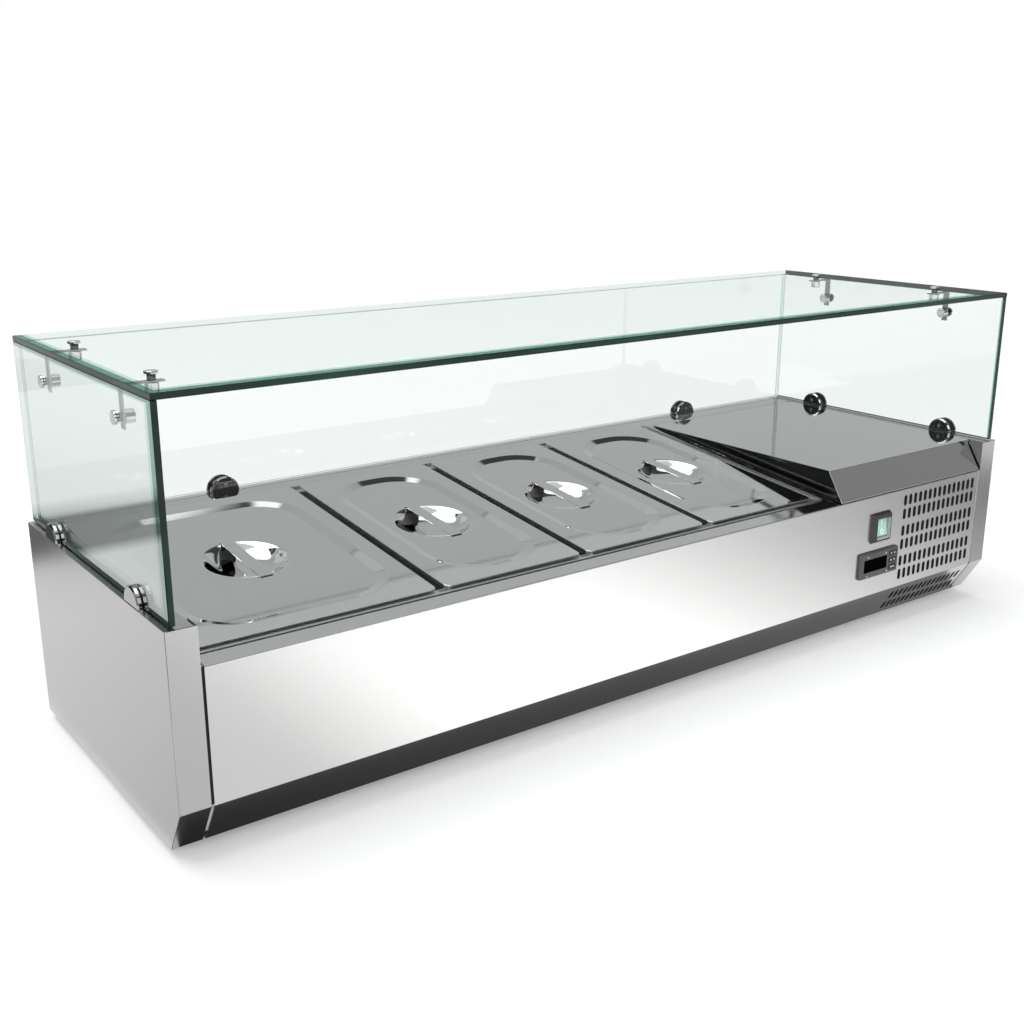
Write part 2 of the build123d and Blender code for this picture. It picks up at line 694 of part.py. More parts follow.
# Insulation: foam between the tank and the case, hollowed for the tank and the coil under it
with BuildPart() as insulation:
    with BuildSketch(Plane.YZ.offset(bulkhead_x - SEAM)):
        with BuildLine():
            Polyline(*inside_section(2 * SHEET + 3 * SEAM))
        make_face()
    extrude(amount=-(bulkhead_x - SEAM + wall_inner_x - SEAM))
    extrude(
        well_area(0, SHEET + FOAM_FIT),
        amount=well_floor_under - 2 * (EVAPORATOR_RADIUS + EVAPORATOR_FIT) - FOAM_FIT,
        mode=Mode.SUBTRACT,
    )
    extrude(
        recess_area(0, SHEET + FOAM_FIT),
        amount=ledge_top - SHEET - FOAM_FIT,
        mode=Mode.SUBTRACT,
    )
    with BuildSketch(deck_plane.offset(well_floor)):
        with Locations((drain_x, drain_s)):
            Circle(DRAIN_RADIUS + FOAM_FIT)
    extrude(amount=-CASE_HEIGHT, mode=Mode.SUBTRACT)
    with BuildSketch(Plane.YZ.offset(well_right)):
        with Locations(*[(point.Y, point.Z) for point in evaporator_ends]):
            Circle(EVAPORATOR_RADIUS + EVAPORATOR_FIT)
        with Locations((probe_place.Y, probe_place.Z)):
            Circle(PROBE_RADIUS + EVAPORATOR_FIT)
    extrude(amount=bulkhead_x - well_right, mode=Mode.SUBTRACT)
    with BuildSketch(back_plane):
        with Locations((0, screw_z)):
            with GridLocations(screw_span, 0, SCREW_COUNT, 1):
                Circle(SCREW_RADIUS + FOAM_FIT)
    extrude(amount=2 * SCREW_LENGTH, both=True, mode=Mode.SUBTRACT)
    with BuildSketch(Plane.XY.offset(tray_top)):
        with Locations((-wall_inner_x, front_y)):
            Rectangle(STRIP_WIDTH + SEAM, LIP_DEPTH + SEAM, align=FROM_CORNER)
    extrude(amount=CASE_HEIGHT, mode=Mode.SUBTRACT)
finish(insulation.part, "insulation")


# Pans: drawn gastronorm pans with a flat rim turned down at its edge
def rim_area(plane_height, left_edge, width, inset, corner):
    """A pan's or lid's plan, drawn in from its edge."""
    return deck_box(
        plane_height,
        left_edge + inset,
        left_edge + width - inset,
        pans_front + inset,
        pans_back - inset,
        corner,
    )


def tub(left_edge, width, skin, depth):
    """A drafted block with a rounded floor: the outside of a pan, or its inside a skin smaller."""
    with BuildPart() as block:
        mouth = rim_area(rim_top, left_edge, width, PAN_RIM + skin, PAN_CORNER - skin)
        extrude(mouth, amount=-depth, taper=PAN_DRAFT)
        floor = block.faces().sort_by(deck_axis)[0]
        fillet(floor.edges(), PAN_FLOOR_RADIUS - skin)
    return block.part


def gastronorm_pan(left_edge, width):
    """A drafted tub with a rounded floor, and a rim whose edge is folded down to the ledge."""
    with BuildPart() as pan:
        add(tub(left_edge, width, 0, PAN_DEPTH))
        with BuildSketch(deck_plane.offset(rim_top)):
            with Locations((left_edge + width / 2, pan_middle)):
                RectangleRounded(width, PAN_LENGTH, PAN_RIM_CORNER)
        extrude(amount=-PAN_SHEET)
        with BuildSketch(deck_plane.offset(rim_bottom)):
            with Locations((left_edge + width / 2, pan_middle)):
                RectangleRounded(width, PAN_LENGTH, PAN_RIM_CORNER)
                RectangleRounded(
                    width - 2 * PAN_SHEET,
                    PAN_LENGTH - 2 * PAN_SHEET,
                    PAN_RIM_CORNER - PAN_SHEET,
                    mode=Mode.SUBTRACT,
                )
        extrude(amount=PAN_RIM_HEIGHT)
        add(tub(left_edge, width, PAN_SHEET, PAN_DEPTH - PAN_SHEET), mode=Mode.SUBTRACT)
    return pan.part


# Lids: pressed sheet with a flat border, a recessed panel and a finger dish in the middle
def lid_recess(height, left_edge, width):
    """The pressed recess as a solid, from the border's edge down its slope to the panel."""
    with BuildPart() as recess:
        inner = LID_BORDER + LID_SLOPE_WIDTH
        add(rim_area(height, left_edge, width, LID_BORDER, LID_RECESS_CORNER))
        add(
            rim_area(
                height - LID_RECESS,
                left_edge,
                width,
                inner,
                LID_RECESS_CORNER - LID_SLOPE_WIDTH,
            )
        )
        loft(ruled=True)
    return recess.part


def gastronorm_lid(left_edge, width):
    middle = left_edge + width / 2
    dish_plane = Plane(
        origin=on_deck(middle, pan_middle, lid_panel_top),
        x_dir=(1, 0, 0),
        z_dir=(0, -cos(slope), -sin(slope)),
    )
    dish_axis = Axis(on_deck(middle, pan_middle, 0), deck_up)
    with BuildPart() as lid:
        extrude(rim_area(lid_bottom, left_edge, width, 0, PAN_RIM_CORNER), amount=LID_SHEET)
        add(lid_recess(lid_bottom, left_edge, width))
        add(lid_recess(lid_top, left_edge, width), mode=Mode.SUBTRACT)
        with BuildSketch(deck_plane.offset(lid_panel_top)):
            with Locations((middle, pan_middle)):
                Circle(DISH_RADIUS + DISH_LIP)
        extrude(amount=-LID_SHEET, mode=Mode.SUBTRACT)
        with BuildSketch(dish_plane):
            with BuildLine():
                FilletPolyline(
                    (0, -DISH_DEPTH),
                    (DISH_FLOOR_RADIUS, -DISH_WALL_DEPTH),
                    (DISH_RADIUS, 0),
                    (DISH_RADIUS + 2 * DISH_LIP, 0),
                    radius=[DISH_LIP * 2, DISH_LIP],
                )
                offset(amount=LID_SHEET, side=Side.RIGHT, kind=Kind.INTERSECTION)
            make_face()
        revolve(axis=dish_axis)
    return lid.part


def lid_strap(left_edge, width):
    """A flat strap across the dish, welded to the panel at both ends."""
    with BuildPart() as strap:
        with BuildSketch(deck_plane.offset(lid_panel_top + SEAM)):
            with Locations((left_edge + width / 2, pan_middle)):
                RectangleRounded(
                    STRAP_WIDTH, 2 * (DISH_RADIUS + DISH_LIP + STRAP_LANDING), STRAP_SHEET
                )
        extrude(amount=STRAP_SHEET)
    return strap.part


for name, left_edge, width in pan_rows:
    size, _, place = name.partition("_")
    suffix = f"_{place}" if place else ""
    finish(gastronorm_pan(left_edge, width), f"{size}_pan{suffix}")
    finish(gastronorm_lid(left_edge, width), f"{size}_lid{suffix}")
    finish(lid_strap(left_edge, width), f"{size}_lid_strap{suffix}")

# Hood: folded cover over the condensing unit, with a level top, a sloping front and a left wall
hood_foot_z = deck_front_z + HOOD_FOOT_GAP
hood_fold = [
    (front_y, hood_foot_z),
    (front_y + HOOD_SLOPE_DEPTH, case_top),
    (hood_back_y, case_top),
]

with BuildPart() as compressor_hood:
    with BuildSketch(Plane.YZ.offset(hood_left)):
        add(sheet_section(hood_fold, Side.RIGHT))
    extrude(amount=hood_right - hood_left)
    with BuildSketch(Plane.YZ.offset(hood_left)):
        with BuildLine():
            Polyline(*hood_fold, (hood_back_y, case_top - SHEET), (front_y, hood_foot_z))
        make_face()
    extrude(amount=SHEET)
    with BuildSketch(Plane.XY.offset(case_top)):
        with Locations((panel_half, front_y)):
            Rectangle(STRIP_WIDTH, LIP_DEPTH + 2 * DECK_SIDE_GAP, align=FROM_CORNER)
    extrude(amount=-FRONT_DROP, mode=Mode.SUBTRACT)
finish(compressor_hood.part, "compressor_hood")

# Glass canopy: two side panes, a back pane and a top pane, open towards the operator
glass_outer_x = half_length - GLASS_INSET
glass_front_y = front_y + GLASS_FRONT_INSET
glass_back_y = back_y - GLASS_BACK_INSET
glass_bottom = case_top + GLASS_LIFT
glass_top = case_top + CANOPY_HEIGHT
pane_top = glass_top - GLASS - SEAM
knob_x = glass_outer_x - KNOB_FROM_EDGE
knob_z = glass_top - KNOB_FROM_EDGE


def side_pane(hand):
    with BuildPart() as pane:
        with BuildSketch(Plane.YZ.offset(hand * glass_outer_x)):
            with Locations(((glass_front_y + glass_back_y) / 2, (glass_bottom + pane_top) / 2)):
                Rectangle(glass_back_y - glass_front_y, pane_top - glass_bottom)
            with Locations((-bracket_y, knob_z), (bracket_y, knob_z)):
                Circle(GLASS_HOLE_RADIUS, mode=Mode.SUBTRACT)
        extrude(amount=-hand * GLASS)
        front_edges = pane.faces().sort_by(Axis.Y)[0].edges()
        chamfer(front_edges, GLASS_EDGE)
    return pane.part


finish(side_pane(-1), "left_glass")
finish(side_pane(1), "right_glass")

with BuildPart() as back_glass:
    with BuildSketch(Plane.XZ.offset(-glass_back_y)):
        with Locations((0, (glass_bottom + pane_top) / 2)):
            Rectangle(2 * (glass_outer_x - GLASS - GLASS_JOINT), pane_top - glass_bottom)
    extrude(amount=GLASS)
finish(back_glass.part, "back_glass")

with BuildPart() as top_glass:
    with BuildSketch(Plane.XY.offset(glass_top)):
        with Locations((0, (glass_front_y + glass_back_y) / 2)):
            Rectangle(2 * glass_outer_x, glass_back_y - glass_front_y)
        with Locations(*[(hand * knob_x, y) for hand in (-1, 1) for y in (-bracket_y, bracket_y)]):
            Circle(GLASS_HOLE_RADIUS, mode=Mode.SUBTRACT)
    extrude(amount=-GLASS)
    chamfer(top_glass.faces().sort_by(Axis.Z)[-1].outer_wire().edges(), GLASS_EDGE)
    chamfer(top_glass.faces().sort_by(Axis.Z)[0].outer_wire().edges(), GLASS_EDGE)
finish(top_glass.part, "top_glass")

# Glass clamps: polished half-discs, two at the foot of each pane. A clamp is modelled at its own
# origin, with the pane along X and across Y, and set at each of its places
pane_middle_x = glass_outer_x - GLASS / 2
pane_middle_y = glass_back_y - GLASS / 2
clamp_half = GLASS / 2 + CLAMP_PAD + CLAMP_CHEEK
slot_half = GLASS / 2 + CLAMP_PAD
clamp_places = [
    Location((-pane_middle_x, -clamp_y, case_top), (0, 0, 90)),
    Location((-pane_middle_x, clamp_y, case_top), (0, 0, 90)),
    Location((pane_middle_x, -clamp_y, case_top), (0, 0, -90)),
    Location((pane_middle_x, clamp_y, case_top), (0, 0, -90)),
    Location((-clamp_x, pane_middle_y, case_top), (0, 0, 0)),
    Location((clamp_x, pane_middle_y, case_top), (0, 0, 0)),
]


def half_disc(radius):
    with BuildSketch() as disc:
        Circle(radius)
        Rectangle(2 * radius, radius, align=(Align.CENTER, Align.MAX), mode=Mode.SUBTRACT)
    return disc.sketch


with BuildPart() as clamp:
    with BuildSketch(Plane.XZ.offset(-clamp_half)):
        add(half_disc(CLAMP_RADIUS))
    extrude(amount=2 * clamp_half)
    rims = clamp.edges().filter_by(GeomType.CIRCLE)
    chamfer(rims, CLAMP_EDGE)
    with BuildSketch(Plane.XZ.offset(-slot_half)):
        with Locations((0, CLAMP_WEB)):
            Rectangle(2 * CLAMP_RADIUS, CLAMP_RADIUS, align=(Align.CENTER, Align.MIN))
    extrude(amount=2 * slot_half, mode=Mode.SUBTRACT)
    with BuildSketch(Plane.XZ.offset(slot_half)):
        with Locations((0, CLAMP_SCREW_HEIGHT)):
            Circle(CLAMP_SCREW_RADIUS + SEAM)
    extrude(amount=CLAMP_CHEEK, mode=Mode.SUBTRACT)

with BuildPart() as clamp_pad:
    for pad_face in (slot_half - SEAM, -GLASS / 2 - SEAM):
        with BuildSketch(Plane.XZ.offset(-pad_face)):
            with Locations((0, CLAMP_WEB + SEAM)):
                add(half_disc(CLAMP_RADIUS - CLAMP_WEB - SEAM - CLAMP_EDGE))
        extrude(amount=CLAMP_PAD - 2 * SEAM)

with BuildPart() as clamp_screw:
    with BuildSketch(Plane.XZ.offset(slot_half)):
        with Locations((0, CLAMP_SCREW_HEIGHT)):
            Circle(CLAMP_SCREW_RADIUS)
    extrude(amount=CLAMP_CHEEK)
    with BuildSketch(Plane.XZ.offset(clamp_half)):
        with Locations((0, CLAMP_SCREW_HEIGHT)):
            RegularPolygon(CLAMP_SCREW_RADIUS / 2, 6)
    extrude(amount=-CLAMP_CHEEK / 2, mode=Mode.SUBTRACT)

for name, piece in (
    ("glass_clamps", clamp),
    ("clamp_pads", clamp_pad),
    ("clamp_screws", clamp_screw),
):
    with BuildPart() as group:
        with Locations(*clamp_places):
            add(piece.part)
    finish(group.part, name)

# Corner brackets: a bent strip inside each corner of the canopy, held by a knob through each
# pane. The outer cap carries the thread, and the barrel inside is the nut
bracket_corner_x = glass_outer_x - GLASS - SEAM
bracket_top_z = pane_top
bracket_bore = KNOB_SHANK_RADIUS + SEAM

with BuildPart() as corner_bracket:
    with BuildSketch(Plane.XZ.offset(-BRACKET_WIDTH / 2)):
        with BuildLine():
            Polyline((0, -BRACKET_LEG), (0, 0), (BRACKET_LEG, 0))
            offset(amount=BRACKET_SHEET, side=Side.RIGHT, kind=Kind.INTERSECTION)
        make_face()
    extrude(amount=BRACKET_WIDTH)
    knob_drop = glass_top - KNOB_FROM_EDGE - bracket_top_z
    with BuildSketch(Plane.YZ):
        with Locations((0, knob_drop)):
            Circle(bracket_bore)
    extrude(amount=2 * BRACKET_SHEET, mode=Mode.SUBTRACT)
    with BuildSketch(Plane.XY):
        with Locations((bracket_corner_x - knob_x, 0)):
            Circle(bracket_bore)
    extrude(amount=-2 * BRACKET_SHEET, mode=Mode.SUBTRACT)

with BuildPart() as corner_brackets:
    for hand, turn in ((-1, 0), (1, 180)):
        for y in (-bracket_y, bracket_y):
            with Locations(Location((hand * bracket_corner_x, y, bracket_top_z), (0, 0, turn))):
                add(corner_bracket.part)
finish(corner_brackets.part, "corner_brackets")

# A knob's own frame: origin on the pane's outer face, Z pointing out of the canopy
knob_reach = GLASS + SEAM + BRACKET_SHEET + SEAM
with BuildPart() as knob_cap:
    with BuildSketch(Plane.XY.offset(SEAM)):
        Circle(KNOB_RADIUS)
    extrude(amount=KNOB_CAP)
    fillet(knob_cap.faces().sort_by(Axis.Z)[-1].edges(), KNOB_CAP / 3)
    with BuildSketch(Plane.XY.offset(SEAM)):
        Circle(KNOB_SHANK_RADIUS)
    extrude(amount=-knob_reach - KNOB_THREAD)

with BuildPart() as knob_barrel:
    with BuildSketch(Plane.XY.offset(-knob_reach)):
        Circle(KNOB_RADIUS)
    extrude(amount=-KNOB_BARREL)
    fillet(knob_barrel.faces().sort_by(Axis.Z)[0].edges(), KNOB_CAP / 3)
    with BuildSketch(Plane.XY.offset(-knob_reach)):
        Circle(bracket_bore)
    extrude(amount=-KNOB_THREAD - SHEET, mode=Mode.SUBTRACT)

knob_places = []
for hand in (-1, 1):
    for y in (-bracket_y, bracket_y):
        knob_places.append(Location((hand * knob_x, y, glass_top)))
        knob_places.append(Location((hand * glass_outer_x, y, knob_z), (0, hand * 90, 0)))

for name, piece in (("knob_caps", knob_cap), ("knob_barrels", knob_barrel)):
    with BuildPart() as group:
        with Locations(*knob_places):
            add(piece.part)
    finish(group.part, name)

# Power switch: a bevelled surround with a lit rocker. At rest the rocker's top is pressed in
switch_front = Plane.XZ.offset(-front_y + SEAM)
pivot_y = front_y + ROCKER_PIVOT_DEPTH
rocker_pocket = 2 * (ROCKER_RADIUS + ROCKER_CLEARANCE)

with BuildPart() as switch_housing:
    with BuildSketch(switch_front):
        with Locations((control_x, switch_z)):
            RectangleRounded(SWITCH_WIDTH, SWITCH_HEIGHT, BEZEL_CORNER)
    with BuildSketch(switch_front.offset(SWITCH_PROUD - SEAM)):
        with Locations((control_x, switch_z)):
            RectangleRounded(
                SWITCH_WIDTH - 2 * SWITCH_TAPER_IN,
                SWITCH_HEIGHT - 2 * SWITCH_TAPER_IN,
                BEZEL_CORNER - 1,
            )
    loft()
    with BuildSketch(switch_front):
        with Locations((control_x, switch_z)):
            Rectangle(SWITCH_BODY_WIDTH, SWITCH_BODY_HEIGHT)
    extrude(amount=-SWITCH_BODY_DEPTH)
    with BuildSketch(switch_front.offset(SWITCH_PROUD)):
        with Locations((control_x, switch_z)):
            Rectangle(ROCKER_WIDTH + 2 * ROCKER_CLEARANCE, rocker_pocket)
    pocket_depth = SWITCH_PROUD + ROCKER_PIVOT_DEPTH + ROCKER_BACK + 2 * ROCKER_CLEARANCE + 2
    extrude(amount=-pocket_depth, mode=Mode.SUBTRACT)
    with BuildSketch(Plane.YZ.offset(control_x)):
        with Locations((pivot_y, switch_z)):
            Circle(ROCKER_PIN_RADIUS + PIN_CLEARANCE)
    pin_half = ROCKER_WIDTH / 2 + ROCKER_CLEARANCE + ROCKER_PIN_LENGTH
    extrude(amount=pin_half, both=True, mode=Mode.SUBTRACT)
finish(switch_housing.part, "switch_housing")

rocker_tilt = radians(ROCKER_TILT)
rocker_plane = Plane(
    origin=(control_x, pivot_y, switch_z),
    x_dir=(0, cos(rocker_tilt), -sin(rocker_tilt)),
    z_dir=(1, 0, 0),
)
face_reach = sqrt(ROCKER_RADIUS**2 - ROCKER_FACE**2)
back_reach = sqrt(ROCKER_RADIUS**2 - ROCKER_BACK**2)

with BuildPart() as switch_rocker:
    with BuildSketch(rocker_plane):
        with BuildLine():
            Polyline(
                (-ROCKER_FACE, -face_reach),
                (-ROCKER_FACE + ROCKER_DISH, 0),
                (-ROCKER_FACE, face_reach),
            )
            ThreePointArc((-ROCKER_FACE, face_reach), (0, ROCKER_RADIUS), (ROCKER_BACK, back_reach))
            Line((ROCKER_BACK, back_reach), (ROCKER_BACK, -back_reach))
            ThreePointArc(
                (ROCKER_BACK, -back_reach), (0, -ROCKER_RADIUS), (-ROCKER_FACE, -face_reach)
            )
        make_face()
    extrude(amount=ROCKER_WIDTH / 2, both=True)
    with BuildSketch(rocker_plane):
        Circle(ROCKER_PIN_RADIUS)
    extrude(amount=ROCKER_WIDTH / 2 + ROCKER_PIN_LENGTH, both=True)
finish(switch_rocker.part, "switch_rocker")

# Thermostat: a panel controller with a dark window and three keys
window_x = control_x + WINDOW_SHIFT
button_x = control_x + BUTTON_SHIFT
buttons = [
    ("thermostat_up_button", thermostat_z + BUTTON_PITCH),
    ("thermostat_down_button", thermostat_z),
    ("thermostat_set_button", thermostat_z - BUTTON_PITCH),
]
thermostat_face = Plane.XZ.offset(-front_y + THERMOSTAT_PROUD)
button_pocket = BUTTON_BODY - BUTTON_PROUD + BUTTON_TRAVEL + SEAM

with BuildPart() as thermostat_housing:
    with BuildSketch(switch_front):
        with Locations((control_x, thermostat_z)):
            RectangleRounded(THERMOSTAT_WIDTH, THERMOSTAT_HEIGHT, BEZEL_CORNER)
    extrude(amount=THERMOSTAT_PROUD - SEAM)
    chamfer(thermostat_housing.faces().sort_by(Axis.Y)[0].edges(), BEZEL_EDGE)
    with BuildSketch(switch_front):
        with Locations((control_x, thermostat_z)):
            Rectangle(THERMOSTAT_BODY_WIDTH, THERMOSTAT_BODY_HEIGHT)
    extrude(amount=-THERMOSTAT_BODY_DEPTH)
    with BuildSketch(thermostat_face):
        with Locations((window_x, thermostat_z)):
            Rectangle(WINDOW_WIDTH, WINDOW_HEIGHT)
    extrude(amount=-WINDOW_RECESS, mode=Mode.SUBTRACT)
    with BuildSketch(thermostat_face):
        with Locations(*[(button_x, z) for _, z in buttons]):
            Rectangle(BUTTON_WIDTH + 2 * BUTTON_CLEARANCE, BUTTON_HEIGHT + 2 * BUTTON_CLEARANCE)
    extrude(amount=-button_pocket, mode=Mode.SUBTRACT)
finish(thermostat_housing.part, "thermostat_housing")

with BuildPart() as thermostat_window:
    with BuildSketch(thermostat_face.offset(-WINDOW_RECESS + SEAM)):
        with Locations((window_x, thermostat_z)):
            Rectangle(WINDOW_WIDTH - 2 * SEAM, WINDOW_HEIGHT - 2 * SEAM)
    extrude(amount=WINDOW_SHEET)
finish(thermostat_window.part, "thermostat_window")

for name, button_z in buttons:
    with BuildPart() as button:
        with BuildSketch(thermostat_face.offset(BUTTON_PROUD)):
            with Locations((button_x, button_z)):
                RectangleRounded(BUTTON_WIDTH, BUTTON_HEIGHT, 1.0)
        extrude(amount=-BUTTON_BODY)
    finish(button.part, name)

# Condensing unit. The condenser stands in a shroud on the tray, behind the front vents: two
# upright headers joined by flat tubes, with fins between the tubes
shroud_bottom = tray_top + SEAM
condenser_bottom = shroud_bottom + SHROUD_SHEET + SEAM
condenser_height = (CONDENSER_TUBE_COUNT + 1) * CONDENSER_TUBE_PITCH
condenser_middle_z = condenser_bottom + condenser_height / 2
shroud_front_y = tray_front_y + SHEET + SHROUD_GAP
condenser_y = shroud_front_y + CONDENSER_DEPTH / 2
shroud_back_y = shroud_front_y + CONDENSER_DEPTH + SHROUD_GAP + SHROUD_SHEET
header_xs = (vent_x - CONDENSER_HEADER_SPAN / 2, vent_x + CONDENSER_HEADER_SPAN / 2)
shroud_inner_half = CONDENSER_HEADER_SPAN / 2 + CONDENSER_HEADER_RADIUS + SHROUD_GAP
shroud_inner_top = condenser_bottom + condenser_height + SEAM
inlet_top_z = shroud_inner_top + SHROUD_SHEET + PIPE_STUB
outlet_x = vent_x - shroud_inner_half - SHROUD_SHEET - PIPE_STUB
outlet_z = condenser_bottom + CONDENSER_TUBE_PITCH

with BuildPart() as condenser_coil:
    with BuildSketch(Plane.XY.offset(condenser_bottom)):
        with Locations(*[(x, condenser_y) for x in header_xs]):
            Circle(CONDENSER_HEADER_RADIUS)
    extrude(amount=condenser_height)
    with BuildSketch(Plane.YZ.offset(header_xs[0])):
        with Locations((condenser_y, condenser_middle_z)):
            with GridLocations(0, CONDENSER_TUBE_PITCH, 1, CONDENSER_TUBE_COUNT):
                Rectangle(2 * CONDENSER_HEADER_RADIUS - SHEET, CONDENSER_TUBE)
    extrude(amount=CONDENSER_HEADER_SPAN)
    with BuildSketch(Plane.XY.offset(condenser_bottom)):
        with Locations((header_xs[1], condenser_y)):
            Circle(PIPE_RADIUS)
    extrude(amount=inlet_top_z - condenser_bottom)
    with BuildSketch(Plane.YZ.offset(header_xs[0])):
        with Locations((condenser_y, outlet_z)):
            Circle(PIPE_RADIUS)
    extrude(amount=outlet_x - header_xs[0])
finish(condenser_coil.part, "condenser_coil")

fin_swing = (CONDENSER_TUBE_PITCH - CONDENSER_TUBE - FIN_SHEET) / 2 - SEAM
fin_run = CONDENSER_HEADER_SPAN - 2 * CONDENSER_HEADER_RADIUS - FIN_PITCH
fin_count = int(fin_run // FIN_PITCH)
fin_line = [
    (vent_x + (step - fin_count) * FIN_PITCH / 2, fin_swing if step % 2 else -fin_swing)
    for step in range(2 * fin_count + 1)
]

with BuildPart() as condenser_fins:
    with BuildSketch(Plane.XZ.offset(-condenser_y)):
        with Locations((0, condenser_middle_z)):
            with GridLocations(0, CONDENSER_TUBE_PITCH, 1, CONDENSER_TUBE_COUNT - 1):
                Polygon(
                    *[(x, z + FIN_SHEET / 2) for x, z in fin_line],
                    *[(x, z - FIN_SHEET / 2) for x, z in reversed(fin_line)],
                    align=None,
                )
    extrude(amount=CONDENSER_HEADER_RADIUS, both=True)
finish(condenser_fins.part, "condenser_fins")

# Shroud: a tray of sheet round the condenser, with the fan's ring drawn out of its back
fan_z = (shroud_bottom + shroud_inner_top + SHROUD_SHEET) / 2
ring_back_y = shroud_back_y + FAN_RING_DEPTH

with BuildPart() as fan_shroud:
    with BuildSketch(Plane.XZ.offset(-shroud_back_y)):
        with Locations((vent_x, fan_z)):
            Rectangle(2 * (shroud_inner_half + SHROUD_SHEET), 2 * (fan_z - shroud_bottom))
    extrude(amount=shroud_back_y - shroud_front_y)
    mouth = fan_shroud.faces().sort_by(Axis.Y)[0]
    offset(amount=-SHROUD_SHEET, openings=mouth)
    with BuildSketch(Plane.XZ.offset(-ring_back_y)):
        with Locations((vent_x, fan_z)):
            Circle(FAN_RING_RADIUS + SHROUD_SHEET)
    extrude(amount=FAN_RING_DEPTH + SHROUD_SHEET)
    with BuildSketch(Plane.XZ.offset(-ring_back_y)):
        with Locations((vent_x, fan_z)):
            Circle(FAN_RING_RADIUS)
    extrude(amount=FAN_RING_DEPTH + SHROUD_SHEET, mode=Mode.SUBTRACT)
    with BuildSketch(Plane.XY.offset(fan_z)):
        with Locations((header_xs[1], condenser_y)):
            Circle(PIPE_RADIUS + PIPE_FIT)
    extrude(amount=2 * FAN_RING_RADIUS + GROMMET_INSET, mode=Mode.SUBTRACT)
    with BuildSketch(Plane.YZ.offset(vent_x)):
        with Locations((condenser_y, outlet_z)):
            Circle(PIPE_RADIUS + PIPE_FIT)
    extrude(amount=-2 * CONDENSER_HEADER_SPAN, mode=Mode.SUBTRACT)
finish(fan_shroud.part, "fan_shroud")

# Fan: a hub with twisted blades, turning on the motor's shaft
fan_front_y = ring_back_y - FAN_HUB_LENGTH + FAN_GAP
fan_tip_radius = FAN_RING_RADIUS - FAN_TIP_CLEARANCE
motor_front_y = fan_front_y + FAN_HUB_LENGTH + FAN_GAP

with BuildPart() as fan_wheel:
    for chord, pitch, reach in (
        (FAN_ROOT_CHORD, FAN_ROOT_PITCH, FAN_HUB_RADIUS - FAN_GAP),
        (FAN_TIP_CHORD, FAN_TIP_PITCH, fan_tip_radius + FAN_GAP),
    ):
        with BuildSketch(Plane.YZ.offset(reach)):
            with Locations((0, FAN_HUB_LENGTH / 2)):
                Rectangle(chord, FAN_BLADE_SHEET, rotation=pitch)
    loft()

with BuildPart() as fan_blade:
    with PolarLocations(0, FAN_BLADES):
        add(fan_wheel.part)
    with BuildSketch():
        Circle(fan_tip_radius)
    extrude(amount=FAN_HUB_LENGTH, mode=Mode.INTERSECT)
    with BuildSketch():
        Circle(FAN_HUB_RADIUS)
    extrude(amount=FAN_HUB_LENGTH)
    fillet(fan_blade.faces().sort_by(Axis.Z)[-1].edges().filter_by(GeomType.CIRCLE), FAN_GAP / 2)
    with BuildSketch():
        Circle(FAN_SHAFT_RADIUS + FAN_SHAFT_CLEARANCE)
    extrude(amount=FAN_HUB_LENGTH - FAN_GAP, mode=Mode.SUBTRACT)

with BuildPart() as fan:
    with Locations(Location((vent_x, fan_front_y + FAN_HUB_LENGTH, fan_z), (90, 0, 0))):
        add(fan_blade.part)
finish(fan.part, "fan_blade")

with BuildPart() as fan_motor:
    with BuildSketch(Plane.XZ.offset(-motor_front_y)):
        with Locations((vent_x, fan_z)):
            Circle(MOTOR_RADIUS)
    extrude(amount=-MOTOR_LENGTH)
    fillet(fan_motor.edges().filter_by(GeomType.CIRCLE), 2 * FAN_GAP)
    with BuildSketch(Plane.XZ.offset(-motor_front_y)):
        with Locations((vent_x, fan_z)):
            Circle(FAN_SHAFT_RADIUS)
    extrude(amount=FAN_HUB_LENGTH - FAN_GAP)
finish(fan_motor.part, "fan_motor")

motor_back_y = motor_front_y + MOTOR_LENGTH + SEAM
bracket_fold = [
    (motor_back_y, fan_z + MOTOR_RADIUS / 2),
    (motor_back_y, tray_top + SEAM),
    (motor_back_y + MOTOR_BRACKET_FOOT, tray_top + SEAM),
]

with BuildPart() as motor_bracket:
    with BuildSketch(Plane.YZ.offset(vent_x)):
        with BuildLine():
            Polyline(*bracket_fold)
            offset(amount=2 * SHEET, side=Side.LEFT, kind=Kind.INTERSECTION)
        make_face()
    extrude(amount=MOTOR_BRACKET_WIDTH / 2, both=True)
finish(motor_bracket.part, "motor_bracket")

# Compressor: an oval welded shell on a foot plate, standing on four rubber mounts
plate_bottom = tray_top + SEAM + GROMMET_HEIGHT
shell_bottom = plate_bottom + FOOT_PLATE_SHEET
weld_z = shell_bottom + COMPRESSOR_HEIGHT / 2
mount_span_x = FOOT_PLATE_LENGTH - 2 * GROMMET_INSET
mount_span_y = FOOT_PLATE_WIDTH - 2 * GROMMET_INSET
shell_end_x = compressor_x + COMPRESSOR_LENGTH / 2
shell_start_x = compressor_x - COMPRESSOR_LENGTH / 2
discharge_z = shell_bottom + PIPE_STUB + COMPRESSOR_BOTTOM_RADIUS + PIPE_BEND
suction_z = evaporator_ends[1].Z


def shell_plan(height, grow):
    with BuildSketch(Plane.XY.offset(height)) as plan:
        with Locations((compressor_x, compressor_y)):
            Ellipse(COMPRESSOR_LENGTH / 2 + grow, COMPRESSOR_WIDTH / 2 + grow)
    return plan.sketch


